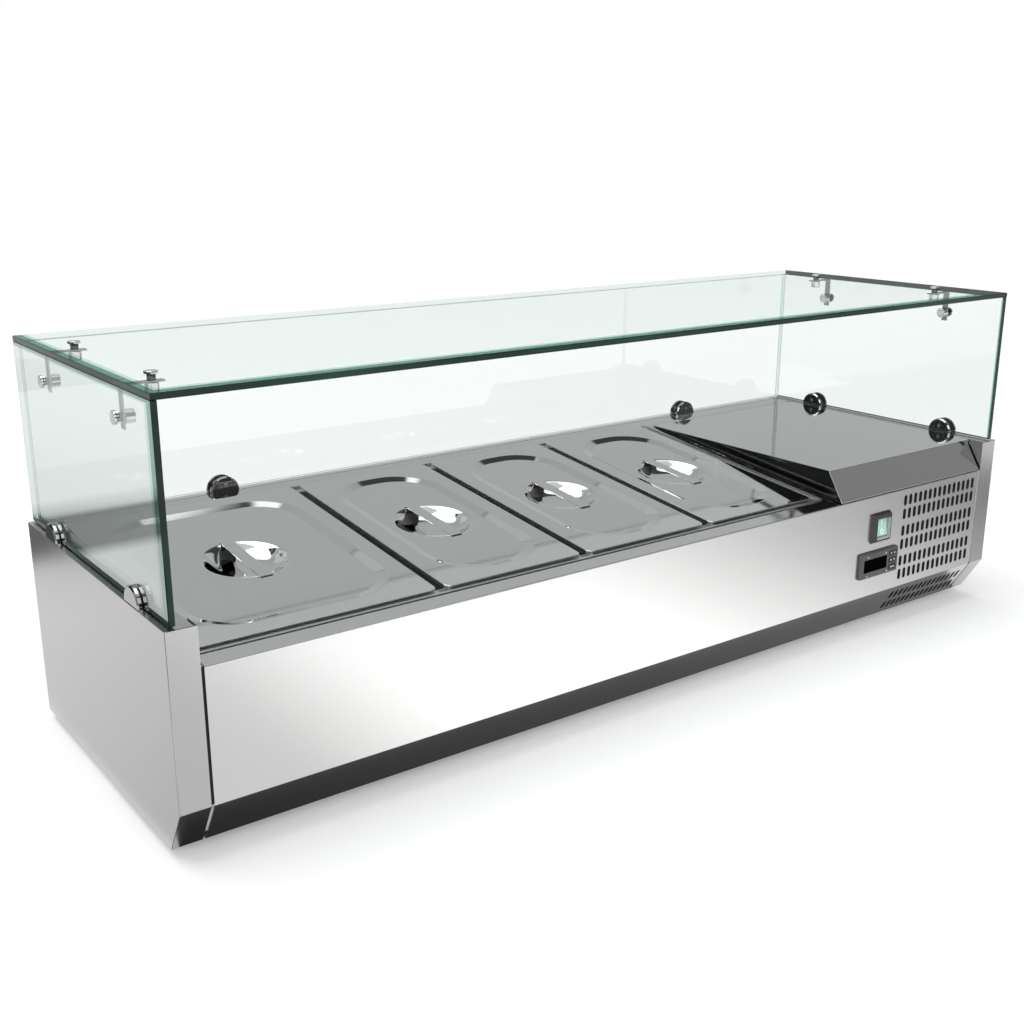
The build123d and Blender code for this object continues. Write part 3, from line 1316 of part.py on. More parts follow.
with BuildPart() as compressor_shell:
    extrude(shell_plan(shell_bottom, 0), amount=COMPRESSOR_HEIGHT)
    fillet(compressor_shell.edges().sort_by(Axis.Z)[-1], COMPRESSOR_TOP_RADIUS)
    fillet(compressor_shell.edges().sort_by(Axis.Z)[0], COMPRESSOR_BOTTOM_RADIUS)
    extrude(shell_plan(weld_z, WELD_BAND_PROUD), amount=WELD_BAND)
    with BuildSketch(Plane.XY.offset(plate_bottom)):
        with Locations((compressor_x, compressor_y)):
            RectangleRounded(FOOT_PLATE_LENGTH, FOOT_PLATE_WIDTH, GROMMET_RADIUS)
            with GridLocations(mount_span_x, mount_span_y, 2, 2):
                Circle(GROMMET_NECK_RADIUS + GROMMET_FIT, mode=Mode.SUBTRACT)
    extrude(amount=FOOT_PLATE_SHEET)
    with BuildSketch(Plane.YZ.offset(compressor_x)):
        with Locations((compressor_y, discharge_z)):
            Circle(PIPE_RADIUS)
    extrude(amount=COMPRESSOR_LENGTH / 2 + PIPE_STUB)
    with BuildSketch(Plane.YZ.offset(compressor_x)):
        with Locations((compressor_y, suction_z)):
            Circle(PIPE_RADIUS)
    extrude(amount=-COMPRESSOR_LENGTH / 2 - PIPE_STUB)
finish(compressor_shell.part, "compressor_shell")

with BuildPart() as compressor_mount:
    with BuildSketch():
        Circle(GROMMET_RADIUS)
    extrude(amount=GROMMET_HEIGHT - SEAM)
    with BuildSketch():
        Circle(GROMMET_NECK_RADIUS)
    extrude(amount=GROMMET_HEIGHT + FOOT_PLATE_SHEET + GROMMET_CAP)
    with BuildSketch(Plane.XY.offset(GROMMET_HEIGHT + FOOT_PLATE_SHEET + SEAM)):
        Circle((GROMMET_RADIUS + GROMMET_NECK_RADIUS) / 2)
    extrude(amount=GROMMET_CAP)

with BuildPart() as compressor_mounts:
    with Locations((compressor_x, compressor_y, tray_top + SEAM)):
        with GridLocations(mount_span_x, mount_span_y, 2, 2):
            add(compressor_mount.part)
finish(compressor_mounts.part, "compressor_mounts")

with BuildPart() as terminal_cover:
    with BuildSketch(Plane.XY.offset(shell_bottom + COMPRESSOR_BOTTOM_RADIUS)):
        with Locations((compressor_x, compressor_y - COMPRESSOR_WIDTH / 2)):
            Rectangle(TERMINAL_LENGTH, 2 * TERMINAL_DEPTH)
    extrude(amount=TERMINAL_HEIGHT)
    outer = terminal_cover.faces().sort_by(Axis.Y)[0]
    fillet(outer.edges(), 2 * FAN_GAP)
    extrude(shell_plan(shell_bottom, SEAM), amount=COMPRESSOR_HEIGHT, mode=Mode.SUBTRACT)
finish(terminal_cover.part, "terminal_cover")

# Pipes: discharge to the condenser, liquid line to the drier, capillary, and suction back
drier_left_x = outlet_x
drier_y = motor_back_y + MOTOR_BRACKET_FOOT + DRIER_RADIUS + 2 * FAN_GAP
drier_right_x = drier_left_x + DRIER_LENGTH
riser_x = drier_right_x + 2 * PIPE_BEND
evaporator_out_x = bulkhead_x + SHEET + EVAPORATOR_STUB + SEAM
corner_x = evaporator_out_x + 2 * PIPE_BEND

with BuildPart() as filter_drier:
    with BuildSketch(Plane.XY.offset(outlet_z)):
        with BuildLine():
            Polyline(
                (drier_left_x, drier_y),
                (drier_left_x, drier_y + PIPE_RADIUS),
                (drier_left_x + DRIER_NOSE, drier_y + DRIER_RADIUS),
                (drier_right_x - DRIER_NOSE, drier_y + DRIER_RADIUS),
                (drier_right_x, drier_y + PIPE_RADIUS),
                (drier_right_x, drier_y),
                close=True,
            )
        make_face()
    revolve(axis=Axis((drier_left_x, drier_y, outlet_z), (1, 0, 0)))
finish(filter_drier.part, "filter_drier")


def pipe(name, points, radius):
    """A bent tube along straight runs, rounded where they meet."""
    start = Vector(*points[0])
    heading = Vector(*points[1]) - start
    with BuildPart() as tube:
        with BuildLine():
            FilletPolyline(*points, radius=PIPE_BEND)
        with BuildSketch(Plane(origin=start, z_dir=heading)):
            Circle(radius)
            Circle(radius - min(PIPE_WALL, radius / 2), mode=Mode.SUBTRACT)
        sweep()
    finish(tube.part, name)


pipe(
    "discharge_pipe",
    [
        (shell_end_x + PIPE_STUB + SEAM, compressor_y, discharge_z),
        (header_xs[1], compressor_y, discharge_z),
        (header_xs[1], compressor_y, inlet_top_z + 2 * PIPE_BEND),
        (header_xs[1], condenser_y, inlet_top_z + 2 * PIPE_BEND),
        (header_xs[1], condenser_y, inlet_top_z + SEAM),
    ],
    PIPE_RADIUS,
)
pipe(
    "liquid_pipe",
    [
        (outlet_x - SEAM, condenser_y, outlet_z),
        (outlet_x - 2 * PIPE_BEND, condenser_y, outlet_z),
        (outlet_x - 2 * PIPE_BEND, drier_y, outlet_z),
        (drier_left_x - SEAM, drier_y, outlet_z),
    ],
    PIPE_RADIUS,
)
pipe(
    "capillary_tube",
    [
        (drier_right_x + SEAM, drier_y, outlet_z),
        (riser_x, drier_y, outlet_z),
        (riser_x, drier_y, evaporator_ends[0].Z),
        (corner_x, drier_y, evaporator_ends[0].Z),
        (corner_x, evaporator_ends[0].Y, evaporator_ends[0].Z),
        (evaporator_out_x, evaporator_ends[0].Y, evaporator_ends[0].Z),
    ],
    CAPILLARY_RADIUS,
)
pipe(
    "suction_pipe",
    [
        (evaporator_out_x, evaporator_ends[1].Y, evaporator_ends[1].Z),
        (corner_x, evaporator_ends[1].Y, evaporator_ends[1].Z),
        (corner_x, compressor_y, evaporator_ends[1].Z),
        (shell_start_x - PIPE_STUB - SEAM, compressor_y, suction_z),
    ],
    PIPE_RADIUS,
)

# Evaporator: a serpentine under the tank's floor, with both ends out through the bulkhead
coil_left = well_left + EVAPORATOR_END
coil_right = well_right - EVAPORATOR_END
coil_out_x = evaporator_out_x - SEAM
coil_points = [(coil_out_x, evaporator_first_s)]
for run in range(EVAPORATOR_RUNS):
    run_s = evaporator_first_s + run * EVAPORATOR_PITCH
    turn_x = coil_right if run % 2 else coil_left
    if run < EVAPORATOR_RUNS - 1:
        coil_points.append((turn_x, run_s))
        coil_points.append((turn_x, run_s + EVAPORATOR_PITCH))
coil_points.append((coil_out_x, evaporator_last_s))
coil_line = [tuple(on_deck(x, s, evaporator_height)) for x, s in coil_points]

with BuildPart() as evaporator_tube:
    with BuildLine():
        FilletPolyline(*coil_line, radius=EVAPORATOR_PITCH / 2 - SEAM)
    with BuildSketch(Plane(origin=coil_line[0], z_dir=(-1, 0, 0))):
        Circle(EVAPORATOR_RADIUS)
        Circle(EVAPORATOR_RADIUS - PIPE_WALL, mode=Mode.SUBTRACT)
    sweep()
finish(evaporator_tube.part, "evaporator_tube")

# Sensor in the foam beside the tank, drain through the floor, and the inlet for the cable
with BuildPart() as temperature_probe:
    with BuildSketch(Plane.YZ.offset(bulkhead_x + PIPE_STUB)):
        with Locations((probe_place.Y, probe_place.Z)):
            Circle(PROBE_RADIUS)
    extrude(amount=well_right + SHEET + EVAPORATOR_FIT - bulkhead_x - PIPE_STUB)
finish(temperature_probe.part, "temperature_probe")

drain_length = well_floor_under - SEAM + drain_foot_height - DRAIN_FLOOR_GAP

with BuildPart() as drain_tube:
    with BuildSketch(deck_plane.offset(well_floor_under - SEAM)):
        with Locations((drain_x, drain_s)):
            Circle(DRAIN_RADIUS)
            Circle(DRAIN_RADIUS - DRAIN_WALL, mode=Mode.SUBTRACT)
    extrude(amount=-drain_length)
finish(drain_tube.part, "drain_tube")

with BuildPart() as cable_bushing:
    with BuildSketch(back_plane):
        with Locations((bushing_x, bushing_z)):
            Circle(BUSHING_RADIUS)
    extrude(amount=-BUSHING_PROUD)
    outer = cable_bushing.faces().sort_by(Axis.Y)[-1]
    fillet(outer.edges(), BUSHING_PROUD / 2)
    with BuildSketch(back_plane):
        with Locations((bushing_x, bushing_z)):
            Circle(BUSHING_NECK_RADIUS)
    extrude(amount=BUSHING_TAIL)
    with BuildSketch(back_plane):
        with Locations((bushing_x, bushing_z)):
            Circle(BUSHING_BORE_RADIUS)
    extrude(amount=BUSHING_PROUD + BUSHING_TAIL, both=True, mode=Mode.SUBTRACT)
finish(cable_bushing.part, "cable_bushing")
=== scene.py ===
import math
import bmesh
import bpy
from mathutils import Matrix, Vector


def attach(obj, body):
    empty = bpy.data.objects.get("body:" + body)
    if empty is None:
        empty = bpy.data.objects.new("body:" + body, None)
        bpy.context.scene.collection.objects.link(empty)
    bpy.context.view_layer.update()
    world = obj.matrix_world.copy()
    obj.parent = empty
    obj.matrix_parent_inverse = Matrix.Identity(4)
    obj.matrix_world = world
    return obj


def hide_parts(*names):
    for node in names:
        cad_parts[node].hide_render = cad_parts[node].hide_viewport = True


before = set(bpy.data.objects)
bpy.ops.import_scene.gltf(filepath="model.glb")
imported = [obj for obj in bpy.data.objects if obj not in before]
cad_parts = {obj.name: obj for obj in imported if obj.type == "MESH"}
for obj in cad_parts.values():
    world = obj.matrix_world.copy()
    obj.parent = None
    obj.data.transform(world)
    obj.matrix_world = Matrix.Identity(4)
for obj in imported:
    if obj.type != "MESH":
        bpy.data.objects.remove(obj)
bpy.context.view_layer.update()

scene = bpy.context.scene
scene.view_settings.view_transform = "Standard"

# Base tray and feet.
# A shallow galvanised tray closes the case from below; its zinc coat shows soft spangles.
# Four moulded rubber pads pushed into the tray carry the counter.
def steps(tree, factor, *stops):
    """A colour ramp fed by a factor; each stop is a place and a colour."""
    ramp = tree.nodes.new("ShaderNodeValToRGB")
    band = ramp.color_ramp
    while len(band.elements) < len(stops):
        band.elements.new(0.5)
    for element, (place, colour) in zip(band.elements, stops):
        element.position = place
        if isinstance(colour, float):
            colour = (colour, colour, colour)
        element.color = (*colour, 1)
    tree.links.new(factor, ramp.inputs["Fac"])
    return ramp.outputs["Color"]


def noise(tree, scale, detail=3.0, stretch=(1, 1, 1)):
    """Noise on the piece's own coordinates, in features per metre, stretched along an axis."""
    place = tree.nodes.new("ShaderNodeTexCoord")
    mapping = tree.nodes.new("ShaderNodeMapping")
    mapping.inputs["Scale"].default_value = stretch
    texture = tree.nodes.new("ShaderNodeTexNoise")
    texture.inputs["Scale"].default_value = scale
    texture.inputs["Detail"].default_value = detail
    texture.inputs["Roughness"].default_value = 0.55
    tree.links.new(place.outputs["Object"], mapping.inputs["Vector"])
    tree.links.new(mapping.outputs["Vector"], texture.inputs["Vector"])
    return texture.outputs["Fac"]


def bump(tree, shader, height, distance):
    """Raises a shader's surface by a height in metres."""
    node = tree.nodes.new("ShaderNodeBump")
    node.inputs["Distance"].default_value = distance
    tree.links.new(height, node.inputs["Height"])
    tree.links.new(node.outputs["Normal"], shader.inputs["Normal"])


def finish_of(name, metallic=0.0, roughness=0.5, **plain):
    """A new material with its shader; plain values go on the shader's own sockets."""
    material = bpy.data.materials.new(name)
    material.use_nodes = True
    tree = material.node_tree
    shader = tree.nodes["Principled BSDF"]
    shader.inputs["Metallic"].default_value = metallic
    shader.inputs["Roughness"].default_value = roughness
    for socket, value in plain.items():
        shader.inputs[socket.replace("_", " ")].default_value = value
    return material, tree, shader


def galvanised(name):
    """Zinc coat: soft crystal spangles that differ in shade and in gloss."""
    material, tree, shader = finish_of(name, metallic=1.0)
    place = tree.nodes.new("ShaderNodeTexCoord")
    spangle = tree.nodes.new("ShaderNodeTexVoronoi")
    spangle.inputs["Scale"].default_value = 110
    tree.links.new(place.outputs["Object"], spangle.inputs["Vector"])
    grey = tree.nodes.new("ShaderNodeSeparateColor")
    tree.links.new(spangle.outputs["Color"], grey.inputs["Color"])
    shade = steps(tree, grey.outputs["Red"], (0.0, (0.40, 0.42, 0.44)), (1.0, (0.60, 0.62, 0.64)))
    gloss = steps(tree, grey.outputs["Green"], (0.0, 0.34), (1.0, 0.52))
    tree.links.new(shade, shader.inputs["Base Color"])
    tree.links.new(gloss, shader.inputs["Roughness"])
    bump(tree, shader, noise(tree, 900), 0.00004)
    return material


def moulded(name, dark, light, roughness=0.5, grain=1400, depth=0.00003, **plain):
    """Moulded rubber or plastic with a fine spark-eroded grain and faint cloudy wear."""
    material, tree, shader = finish_of(name, roughness=roughness, **plain)
    cloud = noise(tree, 38, detail=5)
    tree.links.new(
        steps(tree, cloud, (0.3, dark), (0.75, light)), shader.inputs["Base Color"]
    )
    wear = noise(tree, 160, detail=4)
    tree.links.new(
        steps(tree, wear, (0.3, roughness - 0.07), (0.7, roughness + 0.09)),
        shader.inputs["Roughness"],
    )
    bump(tree, shader, noise(tree, grain, detail=2), depth)
    return material


def paint(node, material):
    """Gives a CAD node its finish."""
    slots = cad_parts[node].data.materials
    slots.clear()
    slots.append(material)


EDGE_ANGLE = 30


def edged(node, material, slot, width, body="case", segments=2, least=0.0, shaping=None):
    """A merged copy of a CAD node, with its edges rolled over, that stands for the node."""
    shape = bmesh.new()
    shape.from_mesh(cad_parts[node].data)
    bmesh.ops.remove_doubles(shape, verts=shape.verts, dist=0.000005)
    bmesh.ops.dissolve_limit(
        shape, angle_limit=math.radians(0.6), verts=shape.verts, edges=shape.edges
    )
    if shaping:
        shaping(shape)
    if least:
        weight = shape.edges.layers.float.new("bevel_weight_edge")
        for edge in shape.edges:
            edge[weight] = float(edge.calc_length() > least)
    mesh = bpy.data.meshes.new(node + "_formed")
    shape.to_mesh(mesh)
    shape.free()
    for layer in ("custom_normal", "sharp_face", "sharp_edge"):
        if layer in mesh.attributes:
            mesh.attributes.remove(mesh.attributes[layer])
    piece = fitted(mesh, material, slot, width, body, segments, EDGE_ANGLE, node)
    if least:
        piece.modifiers["edge roll"].limit_method = "WEIGHT"
    if shaping:
        if width:
            piece.modifiers["edge roll"].harden_normals = False
        flat = piece.modifiers.new("flat faces", "WEIGHTED_NORMAL")
        flat.keep_sharp = True
        flat.weight = 100
    return piece


def fitted(mesh, material, slot, width=0.0, body="case", segments=2, angle=EDGE_ANGLE, *nodes):
    """Puts a mesh in the scene with its finish and its body, rounding edges over an angle."""
    piece = bpy.data.objects.new(mesh.name, mesh)
    scene.collection.objects.link(piece)
    for one in material if isinstance(material, tuple) else [material]:
        mesh.materials.append(one)
    mesh.polygons.foreach_set("use_smooth", [True] * len(mesh.polygons))
    mesh.set_sharp_from_angle(angle=math.radians(angle))
    if width:
        roll = piece.modifiers.new("edge roll", "BEVEL")
        roll.width = width
        roll.segments = segments
        roll.limit_method = "ANGLE"
        roll.angle_limit = math.radians(angle)
        roll.harden_normals = True
        roll.use_clamp_overlap = True
        roll.miter_outer = "MITER_ARC"
    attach(piece, body)
    if nodes:
        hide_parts(*nodes)
    return piece


zinc_sheet = galvanised("galvanised sheet")
rubber = moulded("moulded rubber", (0.012, 0.012, 0.013), (0.03, 0.03, 0.032), 0.62)
edged("base_tray", zinc_sheet, "galvanised_sheet", 0.0003)
edged("rubber_feet", rubber, "black_rubber", 0.0008)

# End panels, front panel and back panel.
# Satin stainless sheet, folded on a brake; the polishing belt runs along each sheet.
# The front panel has a chamfer folded under it and rows of punched air slots at its right end.
LINE_STRETCH = 0.012


def satin_steel(name, shade, roughness, along, depth=0.000002):
    """Belt-polished stainless: fine lines along one axis, faint cloudy patches and bloom."""
    material, tree, shader = finish_of(name, metallic=1.0)
    fine = [LINE_STRETCH if axis in along else 1 for axis in "xyz"]
    lines = noise(tree, 1500, detail=4, stretch=fine)
    cloud = noise(tree, 5, detail=3)
    both = tree.nodes.new("ShaderNodeMix")
    both.data_type = "FLOAT"
    both.inputs[0].default_value = 0.35
    tree.links.new(lines, both.inputs[2])
    tree.links.new(cloud, both.inputs[3])
    low = tuple(c * 0.975 for c in shade)
    high = tuple(min(c * 1.02, 0.95) for c in shade)
    tree.links.new(
        steps(tree, both.outputs[0], (0.3, low), (0.7, high)), shader.inputs["Base Color"]
    )
    tree.links.new(
        steps(tree, both.outputs[0], (0.3, roughness * 0.9), (0.7, roughness * 1.1)),
        shader.inputs["Roughness"],
    )
    bump(tree, shader, lines, depth)
    return material


# The end panels take a darker copy of the case steel than the front: painted shade on the sides.
shaded_side_steel = satin_steel("satin steel sides with painted shade", (0.52, 0.52, 0.516), 0.24, "xy")
front_steel = satin_steel("satin steel front", (0.66, 0.66, 0.655), 0.22, "x")


def rolled(shape, edges, width, segments, finish):
    """Bevels the edges, gives the new faces one of the piece's finishes and returns them."""
    bent = bmesh.ops.bevel(
        shape,
        geom=edges,
        offset=width,
        segments=segments,
        profile=0.5,
        affect="EDGES",
        material=-1,
    )
    for face in bent["faces"]:
        face.material_index = finish
    return bent["faces"]


OUTER_X, TOP_Z, FRONT_Y = 0.5985, 0.2, -0.19


def outer_fold(edge):
    """Whether an edge is on an end panel's outer face or along its front top corner."""
    at = (edge.verts[0].co + edge.verts[1].co) / 2
    return abs(at.x) > OUTER_X or (at.z > TOP_Z and at.y < FRONT_Y)


def folded(shape):
    """Rolls over an end panel's long outer folds; their tight bends take the second finish, a
    near-black painted shade.
    """
    folds = [
        e
        for e in shape.edges
        if e.is_manifold
        and e.calc_length() > 0.02
        and e.calc_face_angle() > 0.4
        and outer_fold(e)
    ]
    rolled(shape, folds, 0.0005, 2, 1)


SLOT_FACE = 0.00003
CHAMFER_TOP = 0.0573
FRONT_OUT = Vector((0, -1, 0))
CHAMFER_OUT = Vector((0, -0.855, -0.519)).normalized()
BACK_OUT = Vector((0, 1, 0))


def punched(shape):
    """Finds the walls of the punched slots, breaks their outer rims and darkens both with painted
    shade.
    """
    walls, rims = set(), []
    for face in shape.faces:
        middle = face.calc_center_median()
        out = BACK_OUT if middle.y > 0 else FRONT_OUT if middle.z > CHAMFER_TOP else CHAMFER_OUT
        if face.calc_area() < SLOT_FACE and abs(face.normal.dot(out)) < 0.4:
            walls.add(face)
            rims += [
                e for e in face.edges if any(f.normal.dot(out) > 0.9 for f in e.link_faces)
            ]
    for face in walls:
        face.material_index = 1
    rolled(shape, rims, 0.00028, 1, 1)


# Painted shade: the end panels' outer folds are drawn near black.
fold_shade = satin_steel("steel fold shade", (0.07, 0.07, 0.07), 0.3, "x")
# Painted shade: the slot walls and their rims are drawn near black.
painted_slot_shade = moulded("shaded slot wall", (0.006, 0.006, 0.006), (0.014, 0.014, 0.014), 0.7)
for node in ("left_end_panel", "right_end_panel"):
    edged(node, (shaded_side_steel, fold_shade), "case_steel", 0.0, shaping=folded)
for node in ("front_panel", "back_panel"):
    edged(node, (front_steel, painted_slot_shade), "case_steel", 0.0004, least=0.03, shaping=punched)

# Air filter mat.
# A 2 mm mat of black open foam is clipped behind the front slots and stops dust and grease; its
# black also paints the shade behind the slots.
MAT_LEFT, MAT_LENGTH, MAT_SHEET = 0.4, 0.165, 0.002
MAT_ROUTE = ((-0.1964, 0.184), (-0.1964, 0.0576), (-0.1736, 0.02))
filter_shade_foam = moulded(
    "black filter foam with painted shade", (0.004, 0.004, 0.004), (0.012, 0.012, 0.012), 0.95, 500, 0.0004
)
shape = bmesh.new()
corners = [shape.verts.new((MAT_LEFT, y, z)) for y, z in MAT_ROUTE]
folds = [shape.edges.new(pair) for pair in zip(corners, corners[1:])]
run = bmesh.ops.extrude_edge_only(shape, edges=folds)["geom"]
far = [g for g in run if isinstance(g, bmesh.types.BMVert)]
bmesh.ops.translate(shape, verts=far, vec=(MAT_LENGTH, 0, 0))
bmesh.ops.subdivide_edges(shape, edges=shape.edges, cuts=3, use_grid_fill=True)
bmesh.ops.recalc_face_normals(shape, faces=shape.faces)
if sum(face.normal.y * face.calc_area() for face in shape.faces) > 0:
    bmesh.ops.reverse_faces(shape, faces=shape.faces)
mesh = bpy.data.meshes.new("air_filter_mat")
shape.to_mesh(mesh)
shape.free()
mat = fitted(mesh, filter_shade_foam, "black_rubber")
thick = mat.modifiers.new("mat", "SOLIDIFY")
thick.thickness = MAT_SHEET
thick.offset = -1

# Gap strips.
# Thin strips stand behind the 3 mm joints between the end panels and the front panel, inside.
# The left one is black, painted shade; the right one and the two along the chamfer are pale, a
# painted highlight of the lit inner walls.
STRIP_WIDTH, STRIP_SHEET = 0.0046, 0.00016
STRIP_X, STRIP_Y = 0.5685, -0.19635
# Tones of the strips: painted shade for the black one, painted light for the pale ones.
PAINTED_SHADE_TONES = ((0.006, 0.006, 0.006), (0.014, 0.014, 0.014))
PAINTED_LIGHT_TONES = ((0.62, 0.62, 0.61), (0.74, 0.74, 0.73))
CHAMFER_TILT = math.atan2(0.519, 0.855)


def gap_strip(name, shades, centre, tall, tilt):
    """A thin strip behind a joint, tilted back by an angle, in painted shade or painted light."""
    foam = moulded(name.replace("_", " "), *shades, 0.8)
    shape = bmesh.new()
    bmesh.ops.create_cube(shape, size=1)
    bmesh.ops.scale(shape, verts=shape.verts, vec=(STRIP_WIDTH, STRIP_SHEET, tall))
    bmesh.ops.rotate(
        shape, verts=shape.verts, cent=(0, 0, 0), matrix=Matrix.Rotation(tilt, 3, "X")
    )
    bmesh.ops.translate(shape, verts=shape.verts, vec=centre)
    mesh = bpy.data.meshes.new(name)
    shape.to_mesh(mesh)
    shape.free()
    fitted(mesh, foam, "black_rubber" if shades is PAINTED_SHADE_TONES else "foam", 0.00003)


gap_strip("left_gap_shade_strip", PAINTED_SHADE_TONES, (-STRIP_X, STRIP_Y, 0.1255), 0.134, 0)
gap_strip("right_gap_light_strip", PAINTED_LIGHT_TONES, (STRIP_X, STRIP_Y, 0.1255), 0.134, 0)
for hand, name in ((-1, "left_chamfer_light_strip"), (1, "right_chamfer_light_strip")):
    gap_strip(name, PAINTED_LIGHT_TONES, (hand * STRIP_X, -0.1840, 0.0375), 0.038, CHAMFER_TILT)

# Case screws.
# Zinc-plated pan heads hold the back panel to the tray's lip.
zinc_plate, tree, shader = finish_of("zinc plate", metallic=1.0)
tree.links.new(
    steps(tree, noise(tree, 240), (0.3, (0.50, 0.50, 0.49)), (0.7, (0.66, 0.66, 0.64))),
    shader.inputs["Base Color"],
)
tree.links.new(
    steps(tree, noise(tree, 420), (0.3, 0.26), (0.7, 0.4)), shader.inputs["Roughness"]
)
edged("case_screws", zinc_plate, "zinc_screw", 0.0002)

# Condenser, its shroud and the fan.
# Flat aluminium tubes between two header tubes, thin fins pressed over them, and a sheet shroud.
# The fan is one plastic moulding on the shaft of a small motor held by a bent bracket.
alloy = satin_steel("condenser aluminium", (0.62, 0.63, 0.64), 0.42, "z")
fan_plastic = moulded("fan plastic", (0.02, 0.02, 0.022), (0.04, 0.04, 0.043), 0.45)
motor_enamel = moulded("motor enamel", (0.05, 0.053, 0.058), (0.09, 0.094, 0.1), 0.38)
paint("condenser_coil", alloy)
paint("condenser_fins", alloy)
paint("fan_shroud", zinc_sheet)
paint("motor_bracket", zinc_sheet)
paint("fan_blade", fan_plastic)
paint("fan_motor", motor_enamel)

# Compressor.
# A welded steel can in thick black enamel, on rubber grommets, with a moulded terminal cover.
shell_paint = moulded(
    "compressor enamel", (0.012, 0.012, 0.013), (0.028, 0.028, 0.03), 0.3, 300, 0.0002
)
terminal_plastic = moulded(
    "terminal plastic", (0.025, 0.025, 0.027), (0.05, 0.05, 0.052), 0.55
)
paint("compressor_shell", shell_paint)
paint("compressor_mounts", rubber)
paint("terminal_cover", terminal_plastic)

# Refrigerant pipes, drier, evaporator tube and probe.
# Soft-drawn copper, tarnished in patches, with darker brazed ends.
copper, tree, shader = finish_of("drawn copper", metallic=1.0)
tarnish = noise(tree, 55, detail=5)
tree.links.new(
    steps(
        tree,
        tarnish,
        (0.3, (0.38, 0.14, 0.075)),
        (0.55, (0.72, 0.36, 0.22)),
        (0.8, (0.84, 0.46, 0.3)),
    ),
    shader.inputs["Base Color"],
)
tree.links.new(steps(tree, tarnish, (0.3, 0.45), (0.7, 0.24)), shader.inputs["Roughness"])
bump(tree, shader, noise(tree, 700), 0.00003)
probe_steel = satin_steel("probe steel", (0.7, 0.7, 0.7), 0.25, "x")
for node in (
    "filter_drier",
    "discharge_pipe",
    "liquid_pipe",
    "capillary_tube",
    "suction_pipe",
    "evaporator_tube",
):
    paint(node, copper)
paint("temperature_probe", probe_steel)

# Bulkhead, insulation, tank and drain.
# A galvanised wall parts the cold tank from the machine space.
# The tank is a folded stainless liner set in poured foam, with a plastic drain.
tank_steel = satin_steel("tank steel", (0.62, 0.62, 0.62), 0.3, "x")
foam, tree, shader = finish_of("poured foam", roughness=0.9)
tree.links.new(
    steps(tree, noise(tree, 90, 6), (0.3, (0.72, 0.62, 0.38)), (0.7, (0.86, 0.78, 0.55))),
    shader.inputs["Base Color"],
)
bump(tree, shader, noise(tree, 600, 6), 0.0006)
drain_plastic = moulded("drain plastic", (0.6, 0.6, 0.58), (0.7, 0.7, 0.68), 0.4)
paint("bulkhead", zinc_sheet)
paint("insulation", foam)
paint("drain_tube", drain_plastic)
edged("tank_liner", tank_steel, "tank_steel", 0.0004)
# Painted shade: the rails are drawn near black, as the gaps between the pans look.
shaded_rail_steel = satin_steel("shaded rail steel", (0.05, 0.05, 0.05), 0.3, "y")
edged("pan_rails", shaded_rail_steel, "tank_steel", 0.00025)

# Deck and compressor hood.
# One sheet, folded down at the front, carries the pans; the hood is folded and spot-welded to it.
deck_steel = satin_steel("deck steel", (0.63, 0.635, 0.63), 0.07, "x", 0.000001)
hood_steel = satin_steel("hood steel", (0.63, 0.635, 0.63), 0.07, "x", 0.000001)
edged("deck", deck_steel, "top_steel", 0.0005)
# Painted shade on the hood's left side, and a painted highlight on its front folds.
shaded_steel = satin_steel("shaded hood steel", (0.22, 0.222, 0.22), 0.09, "y", 0.000001)
painted_fold_highlight = satin_steel("painted fold highlight", (0.9, 0.9, 0.9), 0.5, "x")


FOLD_OVER_Z, FOLD_BEFORE_Y = 0.19, -0.165


def shade_side(shape):
    """Paints a highlight on the hood's front folds; its left side takes painted shade, darker
    than its polished top.
    """
    for face in shape.faces:
        face.material_index = int(face.normal.x < -0.5)
    folds = [
        e
        for e in shape.edges
        if e.is_manifold
        and e.calc_length() > 0.03
        and e.calc_face_angle() > 0.3
        and all(v.co.z > FOLD_OVER_Z and v.co.y < FOLD_BEFORE_Y for v in e.verts)
        and any(f.normal.y < -0.3 and f.normal.z > 0.3 for f in e.link_faces)
    ]
    rolled(shape, folds, 0.0004, 2, 2)


edged(
    "compressor_hood",
    (hood_steel, shaded_steel, painted_fold_highlight),
    "top_steel",
    0.0008,
    segments=3,
    shaping=shade_side,
)

# Gastronorm pans.
# Deep-drawn stainless pans with a rolled rim that hangs on the deck's ledge and the rails.
pan_steel = satin_steel("pan steel", (0.66, 0.665, 0.66), 0.16, "x")
for node in ("half_pan", "third_pan_1", "third_pan_2", "third_pan_3"):
    edged(node, pan_steel, "pan_steel", 0.0003, body=node, segments=3)

# Pan lids.
# Pressed stainless: a flat border, a rounded step down to the panel, and a round finger dish.
# A strap across the dish is spot-welded to the panel at both ends.
LID_BORDER = 0.021
STEP_WIDTH = 0.011
STEP_CORNER = 0.048
LID_CORNER = 0.008
LID_LENGTH = 0.325
LID_SHEET = 0.0008
LID_TOP, STEP_DROP = 0.0038, 0.003
DECK_RISE, DECK_RUN = 0.039, 0.395 - 0.0355
DECK_TILT = math.atan2(DECK_RISE, DECK_RUN)
DECK_FRONT = (0, -0.1975, 0.193)
on_deck = Matrix.Translation(DECK_FRONT) @ Matrix.Rotation(DECK_TILT, 4, "X")
LID_MIDDLE = 0.1905
lid_steel = satin_steel("lid steel", (0.69, 0.695, 0.69), 0.04, "x", 0.000001)


def place_ring(ring, turn, half_width, half_length, corner, height):
    """Lays a ring of vertices round a rectangle with rounded corners."""
    for v in ring:
        across, along = math.cos(v[turn]), math.sin(v[turn])
        v.co.x = math.copysign(half_width - corner, across) + corner * across
        v.co.y = math.copysign(half_length - corner, along) + corner * along
        v.co.z = height


